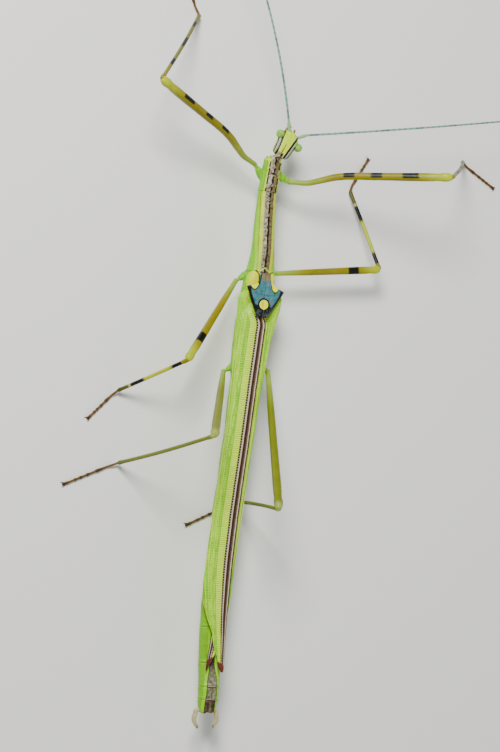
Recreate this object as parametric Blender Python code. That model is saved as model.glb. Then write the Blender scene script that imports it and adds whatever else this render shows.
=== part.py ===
"""Ring-legged stick insect: a winged adult female, life size, standing with six feet on the floor.

Lengths are millimetres until they reach a mesh. +Y runs towards the head, +X to the animal's own right
and +Z up from the floor. A heading is degrees from +Y towards +X.
"""

import math

import bmesh
import bpy
from mathutils import Vector

OBJECT_NAME = "stick_insect"
MM = 0.001

# Where the floor point under the middle of the whole animal lies in the working axes below.
CENTRE_X = 12.77
CENTRE_Y = 16.19

# Driving sizes.
JOINT_GAP = 0.12
WING_THICKNESS = 0.5
LAYER_GAP = 0.16
BODY_SIDES = 16
SMALL_SIDES = 12
LIMB_RESOLUTION = 2
FINE_LIMB_RESOLUTION = 1
WELD_DISTANCE = 0.00001
ROUNDNESS = 2.3
SHARP_ANGLE = 50

# The body's middle line: (y, x, z).
SPINE = (
    (-48.0, -9.6, 5.75),
    (-43.0, -9.15, 5.9),
    (-35.0, -8.7, 6.1),
    (-21.0, -7.0, 6.3),
    (-8.0, -4.88, 6.4),
    (5.0, -2.9, 6.4),
    (15.0, -1.30, 6.4),
    (25.6, -0.45, 6.5),
    (31.0, 0.75, 6.6),
)

# The trunk's shape: (y, half width, height above the middle line, depth below it).
TRUNK = (
    (-47.0, 0.85, 0.55, 0.55),
    (-46.3, 1.25, 0.95, 0.8),
    (-44.9, 1.42, 1.25, 1.0),
    (-43.1, 1.52, 1.35, 1.15),
    (-39.8, 1.68, 0.75, 1.4),
    (-34.9, 1.78, 0.6, 1.7),
    (-21.4, 1.84, 0.6, 1.8),
    (-8.1, 2.0, 0.6, 1.85),
    (-1.4, 2.15, 0.6, 1.9),
    (5.0, 2.6, 0.6, 1.95),
    (11.0, 2.45, 0.6, 1.9),
    (13.2, 2.38, 1.1, 1.85),
    (14.5, 2.25, 1.45, 1.75),
    (16.5, 1.75, 1.45, 1.5),
    (20.4, 1.5, 1.35, 1.35),
    (25.6, 1.35, 1.25, 1.2),
    (27.9, 1.6, 1.25, 1.3),
    (30.6, 1.3, 1.05, 1.1),
)

PROTHORAX = (30.5, 25.65)
MESOTHORAX = (25.65, 14.4)
METATHORAX = (14.4, -1.4)
ABDOMEN_EDGES = (-1.4, -8.1, -15.1, -21.4, -28.6, -34.9, -39.8, -43.1, -44.9, -46.9)
FIRST_ABDOMEN_SEGMENT = 2
RING_SPACING = 2.6
LEAST_STEPS = 3
EDGE_TAPER = 0.07
EDGE_LENGTH = 0.35
SEGMENT_FLARE = 0.03
CUTTER_STEPS = 24

# The head in its own frame: t runs forward from the neck.
HEAD_NECK = (1.17, 30.74, 6.8)
HEAD_HEADING = 35.0
HEAD_STEPS = 13
HEAD_SHAPE = (
    (0.0, 0.78, 0.6, 0.65),
    (0.35, 1.14, 0.85, 0.95),
    (1.1, 1.36, 1.0, 1.1),
    (2.0, 1.44, 1.03, 1.2),
    (2.8, 1.4, 0.98, 1.25),
    (3.4, 1.26, 0.84, 1.2),
    (3.85, 1.0, 0.6, 1.0),
    (4.1, 0.64, 0.36, 0.66),
)
EYE_AT = 2.72
EYE_SIDE = 1.66
EYE_RISE = 0.28
EYE_RADIUS = 0.6
EYE_SOCKET_GAP = 0.06
# The jaws and lips: (t, half width, height of the middle, half height). A palp's path: (t, lateral, height).
JAW_SHAPE = (
    (3.5, 0.45, -1.6, 0.3),
    (3.75, 0.66, -1.57, 0.4),
    (4.12, 0.68, -1.38, 0.48),
    (4.45, 0.5, -1.26, 0.4),
    (4.65, 0.28, -1.2, 0.26),
)
PALP_PATH = ((3.75, 0.98, -1.5), (4.3, 1.02, -1.5), (4.72, 0.8, -1.35), (4.95, 0.52, -1.25))
PALP_RADII = (0.25, 0.27, 0.26, 0.22)

# Wings: how far round the body each margin lies, in degrees from the top of the back.
WING_BASE_Y = 12.6
WING_TIP_Y = -41.0
WING_FLANK_ANGLE = 62.0
WING_TAPER_START = 0.8
WING_INNER_BASE_ANGLE = 13.0
WING_BASE_SPREAD = 38.0
WING_BASE_SHARE = 0.1
# Where each margin ends at the tip. The right wing lies under the left one and reaches further across.
WING_TIP_ANGLES = {"left": (2.0, 24.0), "right": (25.0, 42.0)}
# How far the outer part of a wing stands off the body near its root: (y, distance).
WING_STAND = ((5.0, 0.0), (8.5, 0.45), (10.6, 0.8), (12.6, 0.3))
WING_STEPS = 20
WING_STEP_GROWTH = 1.25
WING_ACROSS = 8

# Tegmina, the small hard fore wings: (y, outer angle, rise over the trunk at the middle and at the edge).
# The fourth and fifth rows make the pointed hump at each side.
TEGMEN_ROWS = (
    (14.25, 9.0, 0.12, 0.12),
    (13.5, 10.5, 0.35, 0.4),
    (13.0, 13.5, 0.55, 0.75),
    (12.55, 20.0, 0.7, 1.2),
    (12.1, 38.0, 0.82, 1.6),
    (11.1, 29.5, 1.05, 1.58),
    (10.1, 21.7, 1.3, 1.5),
    (9.1, 14.2, 1.48, 1.48),
    (8.4, 9.2, 1.48, 1.48),
    (8.1, 4.7, 1.48, 1.48),
)
TEGMEN_ACROSS = 6
TRUNK_WIDTH_AT_WINGS = 2.4

# Legs. Radii and lengths are per pair; the stance is per leg.
LEG_PAIRS = {
    "fore": {
        "hip_swell": 1.5, "femur": 23.3, "knee_radius": 0.62,
        "tibia": 21.4, "tibia_bow": 0.4, "tarsus": 6.8,
    },
    "mid": {
        "hip_swell": 1.15, "femur": 16.3, "knee_radius": 0.56,
        "tibia": 12.5, "tibia_bow": 0.1, "tarsus": 5.9,
    },
    "hind": {
        "hip_swell": 1.0, "femur": 22.2, "knee_radius": 0.58,
        "tibia": 20.1, "tibia_bow": 0.4, "tarsus": 8.7,
    },
}
# Hip and femur base are points; knee is a height; stretch makes one leg of a pair a little longer.
STANCES = {
    "leg_fore_left": {
        "pair": "fore", "hip": (-0.75, 28.15, 5.55), "trochanter": (-1.75, 29.45, 5.6),
        "femur_heading": -60.0, "knee": 15.0, "tibia_heading": 48.5, "toe_heading": -17.0,
    },
    "leg_fore_right": {
        "pair": "fore", "hip": (1.2, 28.25, 5.55), "trochanter": (3.1, 27.4, 5.65),
        "femur_heading": 89.0, "knee": 18.5, "tibia_heading": 73.0, "toe_heading": 124.0,
    },
    "leg_mid_left": {
        "pair": "mid", "hip": (-3.0, 14.0, 5.25), "trochanter": (-4.35, 13.5, 5.2),
        "femur_heading": -137.8, "knee": 10.9, "tibia_heading": -124.7, "toe_heading": -131.8,
    },
    "leg_mid_right": {
        "pair": "mid", "hip": (0.35, 14.2, 5.25), "trochanter": (1.6, 14.4, 5.2),
        "femur_heading": 87.3, "knee": 5.4, "tibia_heading": -11.8, "toe_heading": 34.4,
    },
    "leg_hind_left": {
        "pair": "hind", "hip": (-4.95, 1.3, 5.2), "trochanter": (-6.25, 0.8, 5.25),
        "femur_heading": -134.4, "knee": 21.1, "tibia_heading": -127.1, "toe_heading": -109.8,
        "femur_stretch": 0.91, "tibia_stretch": 1.065,
    },
    "leg_hind_right": {
        "pair": "hind", "hip": (-1.35, 1.3, 5.0), "trochanter": (0.0, 0.85, 4.95),
        "femur_heading": -165.7, "knee": 19.4, "tibia_heading": 82.3, "toe_heading": -112.0,
        "femur_stretch": 1.095, "tibia_stretch": 0.935,
    },
}
COXA_SHARES = (0.0, 0.45, 0.7, 0.88, 1.0)
COXA_RADII = (0.55, 0.58, 0.5, 0.4, 0.33)
FEMUR_STEPS = 10
FEMUR_BASE_RADIUS = 0.32
# Femur thickness as shares of the knee's radius: (share of the length, share of the radius).
FEMUR_SWELL = ((0.25, 0.8), (0.6, 0.92), (0.93, 1.0), (1.0, 0.8))
FORE_FEMUR_BOW = ((0.0, 0.0), (0.12, -0.25), (0.3, 0.55), (0.5, 0.45), (0.75, 0.2), (1.0, 0.0))
TIBIA_STEPS = 8
TIBIA_RADIUS = 0.3
TIBIA_END_SWELL = 1.15
ANKLE_HEIGHT = 0.8
TARSUS_RADIUS = 0.27
TARSUS_HEIGHT = 0.23
TARSUS_SIDES = 8
TARSUS_JOINTS = (0.0, 0.4, 0.58, 0.71, 0.82, 1.0)

# The plate under the abdomen's end: (y, half width, half height). A cercus's path: (y, lateral).
PLATE_SHAPE = (
    (-38.6, 0.5, 0.22),
    (-39.6, 0.95, 0.3),
    (-42.0, 1.0, 0.32),
    (-44.2, 0.72, 0.3),
    (-45.8, 0.3, 0.25),
)
CERCUS_PATH = ((-46.7, 1.4), (-47.1, 1.65), (-47.7, 1.75), (-48.3, 1.5), (-48.8, 1.05))
CERCUS_RADII = (0.26, 0.3, 0.3, 0.27, 0.24)

# Feelers. The scape is the thick first joint: its shape is (distance from its root, radius).
SCAPE_AT = 3.95
SCAPE_SIDE = 0.9
SCAPE_RISE = 0.42
SCAPE_START = 0.3
SCAPE_SHAPE = ((0.0, 0.24), (0.1, 0.3), (0.4, 0.3), (0.6, 0.26), (0.68, 0.2))
FLAGELLUM_LENGTH = 50.0
FLAGELLUM_BASE_RADIUS = 0.27
FLAGELLUM_TIP_RADIUS = 0.22
FLAGELLUM_POINTS = 21
FEELER_PITCH = 16.0
FEELER_DROP = -30.0
FEELERS = {
    "left": {"side": -1, "scape_heading": -8.0, "heading": -14.0, "turn": -16.0},
    "right": {"side": 1, "scape_heading": 72.0, "heading": 86.0, "turn": -4.0},
}

COLOURS = {
    "body_green": (0.30, 0.58, 0.04),
    "tergite_green": (0.28, 0.52, 0.04),
    "head_green": (0.62, 0.75, 0.05),
    "eye_green": (0.42, 0.66, 0.22),
    "wing_green": (0.36, 0.66, 0.05),
    "tegmen_blue": (0.05, 0.28, 0.42),
    "leg_yellow": (0.52, 0.38, 0.02),
    "hind_leg_olive": (0.32, 0.32, 0.03),
    "tarsus_brown": (0.24, 0.10, 0.02),
    "feeler_teal": (0.16, 0.28, 0.28),
    "scape_pale": (0.45, 0.62, 0.60),
    "cercus_beige": (0.66, 0.55, 0.36),
    "mouth_brown": (0.22, 0.10, 0.03),
}


def new_material(name):
    """A plain Principled finish in one of the animal's colours."""
    material = bpy.data.materials.new(name)
    material.use_nodes = True
    shader = material.node_tree.nodes["Principled BSDF"]
    shader.inputs["Base Color"].default_value = (*COLOURS[name], 1.0)
    shader.inputs["Roughness"].default_value = 0.45
    shader.inputs["Metallic"].default_value = 0.0
    material.diffuse_color = (*COLOURS[name], 1.0)
    return material


def material_named(name):
    """The material of this name, made once."""
    return bpy.data.materials.get(name) or new_material(name)


def curve_through(rows, value):
    """Each column of rows at value, on a smooth curve through the rows; the first column is the key."""
    keys = [row[0] for row in rows]
    value = min(max(value, keys[0]), keys[-1])
    last = len(rows) - 1
    i = min(next(k for k in range(last + 1) if value <= keys[k]) or 1, last)
    low, high = rows[i - 1], rows[i]
    span = high[0] - low[0]
    u = (value - low[0]) / span
    result = []
    for column in range(1, len(low)):
        def slope(k):
            before, after = rows[max(k - 1, 0)], rows[min(k + 1, last)]
            return (after[column] - before[column]) / (after[0] - before[0])
        start, end = slope(i - 1) * span, slope(i) * span
        a, b = low[column], high[column]
        result.append(
            a + u * start + u * u * (3 * (b - a) - 2 * start - end) + u ** 3 * (2 * (a - b) + start + end)
        )
    return result


def smooth_step(low, high, value):
    """0 below low, 1 above high, and an S curve between."""
    u = min(max((value - low) / (high - low), 0.0), 1.0)
    return u * u * (3.0 - 2.0 * u)


def heading_vector(heading, pitch=0.0):
    """A unit vector at this heading, raised by pitch, both in degrees."""
    turn, lift = math.radians(heading), math.radians(pitch)
    return Vector((math.sin(turn) * math.cos(lift), math.cos(turn) * math.cos(lift), math.sin(lift)))


def side_vector(heading):
    """The unit vector to the right of this heading, level with the floor."""
    turn = math.radians(heading)
    return Vector((math.cos(turn), -math.sin(turn), 0.0))


def spine_point(y):
    """A point of the body's middle line and the line's heading there."""
    x, z = curve_through(SPINE, y)
    step = 0.5
    ahead = curve_through(SPINE, y + step)[0]
    behind = curve_through(SPINE, y - step)[0]
    return Vector((x, y, z)), math.degrees(math.atan2(ahead - behind, 2 * step))


def rounded(angle, half_width, above, below):
    """A point of a superellipse, with angle from straight up towards the right side."""
    s, c = math.sin(angle), math.cos(angle)
    power = 2.0 / ROUNDNESS
    lateral = half_width * math.copysign(abs(s) ** power, s)
    rise = (above if c > 0 else below) * math.copysign(abs(c) ** power, c)
    return lateral, rise


def oval_ring(centre, heading, half_width, above, below, sides=BODY_SIDES):
    """A closed cross-section, level and square to its heading."""
    across = side_vector(heading)
    ring = []
    for i in range(sides):
        lateral, rise = rounded(2 * math.pi * (i + 0.5) / sides, half_width, above, below)
        ring.append(centre + across * lateral + Vector((0, 0, rise)))
    return ring


def loft(name, rings, material, band=False):
    """One closed solid through a row of rings, each with the same number of points.

    The rings of a band are thin strips, the far edge first and then the near edge back again.
    """
    mesh = bpy.data.meshes.new(name)
    work = bmesh.new()
    loops = [[work.verts.new((p - Vector((CENTRE_X, CENTRE_Y, 0))) * MM) for p in ring] for ring in rings]
    count = len(loops[0])
    for first, second in zip(loops, loops[1:]):
        for i in range(count):
            j = (i + 1) % count
            work.faces.new((first[i], first[j], second[j], second[i]))
    for end in (loops[0], loops[-1]):
        if band:
            for i in range(count // 2 - 1):
                work.faces.new((end[i], end[i + 1], end[-2 - i], end[-1 - i]))
        else:
            work.faces.new(end)
    bmesh.ops.recalc_face_normals(work, faces=work.faces)
    work.to_mesh(mesh)
    work.free()
    mesh.shade_smooth()
    mesh.set_sharp_from_angle(angle=math.radians(SHARP_ANGLE))
    return add_object(name, mesh, material)


def add_object(name, data, material):
    """Put a new object with this data and finish in the animal's collection."""
    body = bpy.data.objects.new(name, data)
    data.materials.append(material_named(material))
    bpy.data.collections[OBJECT_NAME].objects.link(body)
    return body


def limb(name, points, radii, material, resolution=LIMB_RESOLUTION):
    """A round tapering limb: a bevelled curve through the points, closed at both ends."""
    curve = bpy.data.curves.new(name, "CURVE")
    curve.dimensions = "3D"
    curve.twist_mode = "MINIMUM"
    curve.bevel_depth = MM
    curve.bevel_resolution = resolution
    curve.use_fill_caps = True
    spline = curve.splines.new("POLY")
    spline.points.add(len(points) - 1)
    for knot, point, radius in zip(spline.points, points, radii):
        place = (point - Vector((CENTRE_X, CENTRE_Y, 0))) * MM
        knot.co = (*place, 1.0)
        knot.radius = radius
    return add_object(name, curve, material)


def trunk_length(name, front, back, material, flare=0.0):
    """One length of the trunk between two borders, drawn in at both edges and flared near the hind one."""
    front, back = front - JOINT_GAP / 2, back + JOINT_GAP / 2
    length = front - back
    steps = max(LEAST_STEPS, round(length / RING_SPACING))
    rings = []
    for i in range(steps + 1):
        u = i / steps
        scale = 1.0 - EDGE_TAPER * max(1.0 - min(u, 1.0 - u) * length / EDGE_LENGTH, 0.0)
        if u < 1:
            scale += flare * smooth_step(0.55, 0.95, u)
        centre, heading = spine_point(front - length * u)
        half_width, above, below = curve_through(TRUNK, centre.y)
        rings.append(oval_ring(centre, heading, half_width * scale, above * scale, below * scale))
    return loft(name, rings, material)


def trunk_cutter():
    """A guide body a joint's gap larger than the thorax, to cut the hips where they meet it."""
    rings = []
    for i in range(CUTTER_STEPS + 1):
        centre, heading = spine_point(PROTHORAX[0] + (METATHORAX[1] - PROTHORAX[0]) * i / CUTTER_STEPS)
        size = [value + JOINT_GAP for value in curve_through(TRUNK, centre.y)]
        rings.append(oval_ring(centre, heading, *size))
    as_guide(loft("trunk_cutter", rings, "body_green"))


def as_guide(cutter):
    """Keep a cutter out of the model: in its own collection, as a wire, never rendered."""
    for collection in list(cutter.users_collection):
        collection.objects.unlink(cutter)
    bpy.data.collections["cutters"].objects.link(cutter)
    cutter.hide_render = True
    cutter.display_type = "WIRE"


def cut_away(body, cutter, label):
    """Cut one guide body out of a mesh object."""
    cut = body.modifiers.new(label, "BOOLEAN")
    cut.operation = "DIFFERENCE"
    cut.object = cutter


def mesh_from_curve(tube, material):
    """The same limb as a welded mesh object, so that it can be cut."""
    depsgraph = bpy.context.evaluated_depsgraph_get()
    mesh = bpy.data.meshes.new_from_object(tube.evaluated_get(depsgraph))
    work = bmesh.new()
    work.from_mesh(mesh)
    bmesh.ops.remove_doubles(work, verts=work.verts, dist=WELD_DISTANCE)
    work.to_mesh(mesh)
    work.free()
    name, place = tube.name, tube.matrix_world.copy()
    bpy.data.objects.remove(tube, do_unlink=True)
    mesh.materials.clear()
    body = add_object(name, mesh, material)
    body.matrix_world = place
    return body


def shell_ring(y, angles, under, thickness):
    """A thin band over the back at y, from one angle to another; under gives its height over the trunk."""
    centre, heading = spine_point(y)
    half_width, above, _ = curve_through(TRUNK, y)
    across = side_vector(heading)

    def at(angle, offset):
        lateral, rise = rounded(math.radians(angle), half_width + offset, above + offset, above + offset)
        return centre + across * lateral + Vector((0, 0, rise))

    top = [at(angle, under(angle) + thickness) for angle in angles]
    bottom = [at(angle, under(angle)) for angle in angles]
    return top + bottom[::-1]


def wing_margins(name, u):
    """The angles of a wing's flank and inner margins, u of the way to its tip, as if it were a left wing."""
    flank_tip, inner_tip = WING_TIP_ANGLES[name]
    past = max(0.0, (u - WING_TAPER_START) / (1 - WING_TAPER_START))
    flank = -WING_FLANK_ANGLE + (WING_FLANK_ANGLE + flank_tip) * past ** 1.5
    inner = WING_INNER_BASE_ANGLE + (inner_tip - WING_INNER_BASE_ANGLE) * u ** 1.3
    return flank, inner - WING_BASE_SPREAD * (1 - smooth_step(0.0, WING_BASE_SHARE, u))


def wing(label, side):
    """A folded hind wing. The left one lies over the right one, and is lifted where it does."""
    rings = []
    for i in range(WING_STEPS + 1):
        u = (i / WING_STEPS) ** WING_STEP_GROWTH
        y = WING_BASE_Y + (WING_TIP_Y - WING_BASE_Y) * u
        flank, inner = wing_margins(label, u)
        edge_below = -wing_margins("right", u)[1]
        stand = curve_through(WING_STAND, y)[0]
        angles = [side * -(flank + (inner - flank) * j / WING_ACROSS) for j in range(WING_ACROSS + 1)]

        def under(angle):
            rise = LAYER_GAP + stand * smooth_step(15, 50, abs(angle))
            if side < 0:
                rise += (WING_THICKNESS + LAYER_GAP) * smooth_step(edge_below - 34, edge_below - 12, angle)
            return rise

        rings.append(shell_ring(y, angles, under, WING_THICKNESS))
    return loft(f"wing_{label}", rings, "wing_green", band=True)


def tegmen(name, side):
    """One of the two short hard fore wings that cover the wing bases like a shield."""
    seam = math.degrees(JOINT_GAP / 2 / TRUNK_WIDTH_AT_WINGS)
    rings = []
    for y, outer, middle_rise, edge_rise in TEGMEN_ROWS:
        angles = [side * (seam + (outer - seam) * j / TEGMEN_ACROSS) for j in range(TEGMEN_ACROSS + 1)]

        def under(angle):
            return middle_rise + (edge_rise - middle_rise) * (abs(angle) - seam) / (outer - seam)

        rings.append(shell_ring(y, angles, under, WING_THICKNESS))
    return loft(name, rings, "tegmen_blue", band=True)


def head_point(t, lateral, rise):
    """A point in the head's frame: forward, to its right, and up from its middle line."""
    ahead = heading_vector(HEAD_HEADING) * t
    across = side_vector(HEAD_HEADING) * lateral
    return Vector(HEAD_NECK) + ahead + across + Vector((0, 0, rise))


def ball(name, centre, radius, segments=12, rings=8):
    """A round mesh object about a point."""
    mesh = bpy.data.meshes.new(name)
    work = bmesh.new()
    bmesh.ops.create_uvsphere(work, u_segments=segments, v_segments=rings, radius=radius * MM)
    bmesh.ops.translate(work, verts=work.verts, vec=(centre - Vector((CENTRE_X, CENTRE_Y, 0))) * MM)
    work.to_mesh(mesh)
    work.free()
    mesh.shade_smooth()
    return mesh


def head_parts():
    """Head capsule with a socket for each eye, the eyes, mouthparts and palps."""
    rings = []
    for i in range(HEAD_STEPS + 1):
        t = HEAD_SHAPE[-1][0] * i / HEAD_STEPS
        half_width, above, below = curve_through(HEAD_SHAPE, t)
        rings.append(oval_ring(head_point(t, 0, 0), HEAD_HEADING, half_width, above, below))
    head = loft("head", rings, "head_green")
    for name, side in (("eye_left", -1), ("eye_right", 1)):
        centre = head_point(EYE_AT, side * EYE_SIDE, EYE_RISE)
        add_object(name, ball(name, centre, EYE_RADIUS), "eye_green")
        cutter = add_object(name + "_socket", ball(name, centre, EYE_RADIUS + EYE_SOCKET_GAP), "eye_green")
        as_guide(cutter)
        cut_away(head, cutter, name + "_socket")
    rings = []
    for t, half_width, rise, half_height in JAW_SHAPE:
        size = (half_width, half_height, half_height)
        rings.append(oval_ring(head_point(t, 0, rise), HEAD_HEADING, *size, SMALL_SIDES))
    loft("mouthparts", rings, "mouth_brown")
    for name, side in (("palp_left", -1), ("palp_right", 1)):
        points = [head_point(t, side * lateral, rise) for t, lateral, rise in PALP_PATH]
        limb(name, points, PALP_RADII, "mouth_brown", FINE_LIMB_RESOLUTION)


def feeler(label, side, scape_heading, heading, turn):
    """A feeler: the thick first joint, then the long whip in two lengths."""
    step = heading_vector(scape_heading, 8.0)
    start = head_point(SCAPE_AT, side * SCAPE_SIDE, SCAPE_RISE) + step * SCAPE_START
    scape = [start + step * distance for distance, _ in SCAPE_SHAPE]
    limb(f"antenna_{label}_scape", scape, [radius for _, radius in SCAPE_SHAPE], "scape_pale")
    place = scape[-1] + step * JOINT_GAP
    count = FLAGELLUM_POINTS - 1
    points = [place]
    for i in range(count):
        u = (i + 0.5) / count
        lift = FEELER_PITCH + FEELER_DROP * u
        place = place + heading_vector(heading + turn * u, lift) * (FLAGELLUM_LENGTH / count)
        points.append(place)
    change = (FLAGELLUM_TIP_RADIUS - FLAGELLUM_BASE_RADIUS) / count
    radii = [FLAGELLUM_BASE_RADIUS + change * i for i in range(FLAGELLUM_POINTS)]
    middle = FLAGELLUM_POINTS // 2
    cut = points[middle] + (points[middle + 1] - points[middle]).normalized() * JOINT_GAP
    near, far = points[: middle + 1], [cut, *points[middle + 1:]]
    limb(f"antenna_{label}_near", near, radii[: middle + 1], "feeler_teal", FINE_LIMB_RESOLUTION)
    limb(f"antenna_{label}_far", far, radii[middle:], "feeler_teal", FINE_LIMB_RESOLUTION)


def drop_to(start, length, heading, height):
    """The point at this height that lies length away from start at this heading."""
    pitch = math.degrees(math.asin((height - start.z) / length))
    return start + heading_vector(heading, pitch) * length


def limb_line(start, end, count, bow, direction):
    """Points from start to end, bowed sideways by bow(t) along direction, with a gap at each end."""
    along = (end - start).normalized() * JOINT_GAP / 2
    start, end = start + along, end - along
    return [start.lerp(end, i / count) + direction * bow(i / count) for i in range(count + 1)]


def tarsus(name, ankle, heading, length):
    """A five-jointed foot that leaves the ankle and lies flat on the floor, its claws spread."""
    rings = []
    across, ahead = side_vector(heading), heading_vector(heading)
    start = TIBIA_RADIUS + JOINT_GAP
    stations = []
    for first, second in zip(TARSUS_JOINTS, TARSUS_JOINTS[1:]):
        span = second - first
        stations += [(first + span * 0.12, 0.86), (first + span * 0.55, 0.9), (first + span * 0.93, 1.08)]
    stations[0] = (0.0, 0.9)
    stations[-2:] = [(0.93, 1.25), (0.975, 1.5), (1.0, 0.9)]
    for t, swell in stations:
        radius = TARSUS_RADIUS * swell
        depth = TARSUS_RADIUS * min(swell, 1.1)
        height = TARSUS_HEIGHT + 0.42 * (1 - smooth_step(0.0, 0.2, t))
        centre = Vector((ankle.x, ankle.y, 0)) + ahead * (start + (length - start) * t)
        ring = []
        for i in range(TARSUS_SIDES):
            angle = 2 * math.pi * (i + 0.5) / TARSUS_SIDES
            rise = max(height + depth * math.cos(angle), 0.0)
            ring.append(centre + across * (radius * math.sin(angle)) + Vector((0, 0, rise)))
        rings.append(ring)
    loft(name, rings, "tarsus_brown")


def coxa(name, hip, base, swell):
    """The hip's cone, thickest at the body, cut to the thorax's side."""
    line = [hip.lerp(base, share) for share in COXA_SHARES]
    radii = [radius * (1 + (swell - 1) * (1 - share)) for share, radius in zip(COXA_SHARES, COXA_RADII)]
    body = mesh_from_curve(limb(name, line, radii, "leg_yellow"), "leg_yellow")
    cut_away(body, bpy.data.objects["trunk_cutter"], "trunk")


def leg(name, stance):
    """One leg: hip, femur, tibia and foot."""
    pair = LEG_PAIRS[stance["pair"]]
    finish = "hind_leg_olive" if stance["pair"] == "hind" else "leg_yellow"
    hip, base = Vector(stance["hip"]), Vector(stance["trochanter"])
    outward = (base - hip).normalized()
    coxa(f"{name}_coxa", hip, base, pair["hip_swell"])

    femur_length = pair["femur"] * stance.get("femur_stretch", 1.0)
    knee = drop_to(base, femur_length, stance["femur_heading"], stance["knee"])
    up = (knee - base).normalized()
    clearance = (COXA_RADII[-1] + JOINT_GAP) * math.sin(outward.angle(up))
    femur_start = base + up * JOINT_GAP + outward * clearance
    side = side_vector(stance["femur_heading"])
    forward = -side if "right" in name else side

    def femur_bow(t):
        return curve_through(FORE_FEMUR_BOW, t)[0] if stance["pair"] == "fore" else 0.0

    femur_line = limb_line(femur_start, knee - up * TIBIA_RADIUS, FEMUR_STEPS, femur_bow, forward)
    thick = pair["knee_radius"]
    swell = ((0.0, FEMUR_BASE_RADIUS), *((share, size * thick) for share, size in FEMUR_SWELL))
    femur_radii = [curve_through(swell, i / FEMUR_STEPS)[0] for i in range(FEMUR_STEPS + 1)]
    femur = mesh_from_curve(limb(f"{name}_femur", femur_line, femur_radii, finish), finish)

    tibia_length = pair["tibia"] * stance.get("tibia_stretch", 1.0)
    ankle = drop_to(knee, tibia_length, stance["tibia_heading"], ANKLE_HEIGHT)
    down = (ankle - knee).normalized()
    outer = down.cross(Vector((0, 0, 1)).cross(down)).normalized()

    def tibia_bow(t):
        return pair["tibia_bow"] * math.sin(math.pi * t)

    tibia_line = limb_line(knee, ankle, TIBIA_STEPS, tibia_bow, outer)
    tibia_radii = [TIBIA_RADIUS] * (TIBIA_STEPS + 1)
    tibia_radii[0] = tibia_radii[-1] = TIBIA_RADIUS * TIBIA_END_SWELL
    limb(f"{name}_tibia", tibia_line, tibia_radii, finish)
    slot_line = [knee - down * TIBIA_RADIUS * 2, *tibia_line[:3]]
    slot_radii = [tibia_radii[0] + JOINT_GAP] * len(slot_line)
    slot = mesh_from_curve(limb(f"{name}_slot", slot_line, slot_radii, finish), finish)
    as_guide(slot)
    cut_away(femur, slot, "slot")
    tarsus(f"{name}_tarsus", ankle, stance["toe_heading"], pair["tarsus"])


def tail_parts():
    """The plate under the abdomen's end and the two hooked cerci."""
    rings = []
    for y, half_width, half_height in PLATE_SHAPE:
        centre, heading = spine_point(y)
        below = curve_through(TRUNK, y)[2]
        centre = centre - Vector((0, 0, below * (1 + SEGMENT_FLARE) + LAYER_GAP + half_height))
        rings.append(oval_ring(centre, heading, half_width, half_height, half_height, SMALL_SIDES))
    loft("subgenital_plate", rings, "tergite_green")
    for name, side in (("cercus_left", -1), ("cercus_right", 1)):
        points = []
        for y, lateral in CERCUS_PATH:
            centre, heading = spine_point(y)
            points.append(centre + side_vector(heading) * side * lateral - Vector((0, 0, 0.1)))
        limb(name, points, CERCUS_RADII, "cercus_beige")


def build():
    """Clear the scene and model every named part of the animal."""
    for old in list(bpy.data.objects):
        bpy.data.objects.remove(old, do_unlink=True)
    for label in (OBJECT_NAME, "cutters"):
        collection = bpy.data.collections.new(label)
        bpy.context.scene.collection.children.link(collection)
    bpy.data.collections[OBJECT_NAME].color_tag = "COLOR_04"
    bpy.data.collections["cutters"].hide_render = True

    head_parts()
    for label, shape in FEELERS.items():
        feeler(label, **shape)
    trunk_length("prothorax", *PROTHORAX, "body_green")
    trunk_length("mesothorax", *MESOTHORAX, "body_green")
    trunk_length("metathorax", *METATHORAX, "body_green")
    for i, (front, back) in enumerate(zip(ABDOMEN_EDGES, ABDOMEN_EDGES[1:])):
        segment = f"abdomen_segment_{i + FIRST_ABDOMEN_SEGMENT:02d}"
        trunk_length(segment, front, back, "tergite_green", SEGMENT_FLARE)
    for label, side in (("left", -1), ("right", 1)):
        wing(label, side)
        tegmen(f"tegmen_{label}", side)
    tail_parts()
    trunk_cutter()
    for name, stance in STANCES.items():
        leg(name, stance)


build()
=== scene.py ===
"""Looks for the ring-legged stick insect: one sculpted skin, wings, wing covers, eyes, feelers and claws.

Lengths are millimetres until they reach a mesh. +Y runs towards the head, +X to the animal's own right
and +Z up from the floor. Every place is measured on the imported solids, so the pieces follow them.
"""

import math
from functools import lru_cache

import bmesh
import bpy
import numpy as np
from bpy.props import FloatProperty, FloatVectorProperty, IntProperty, PointerProperty
from bpy.types import Operator, Panel, PropertyGroup
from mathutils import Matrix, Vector, noise


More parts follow.
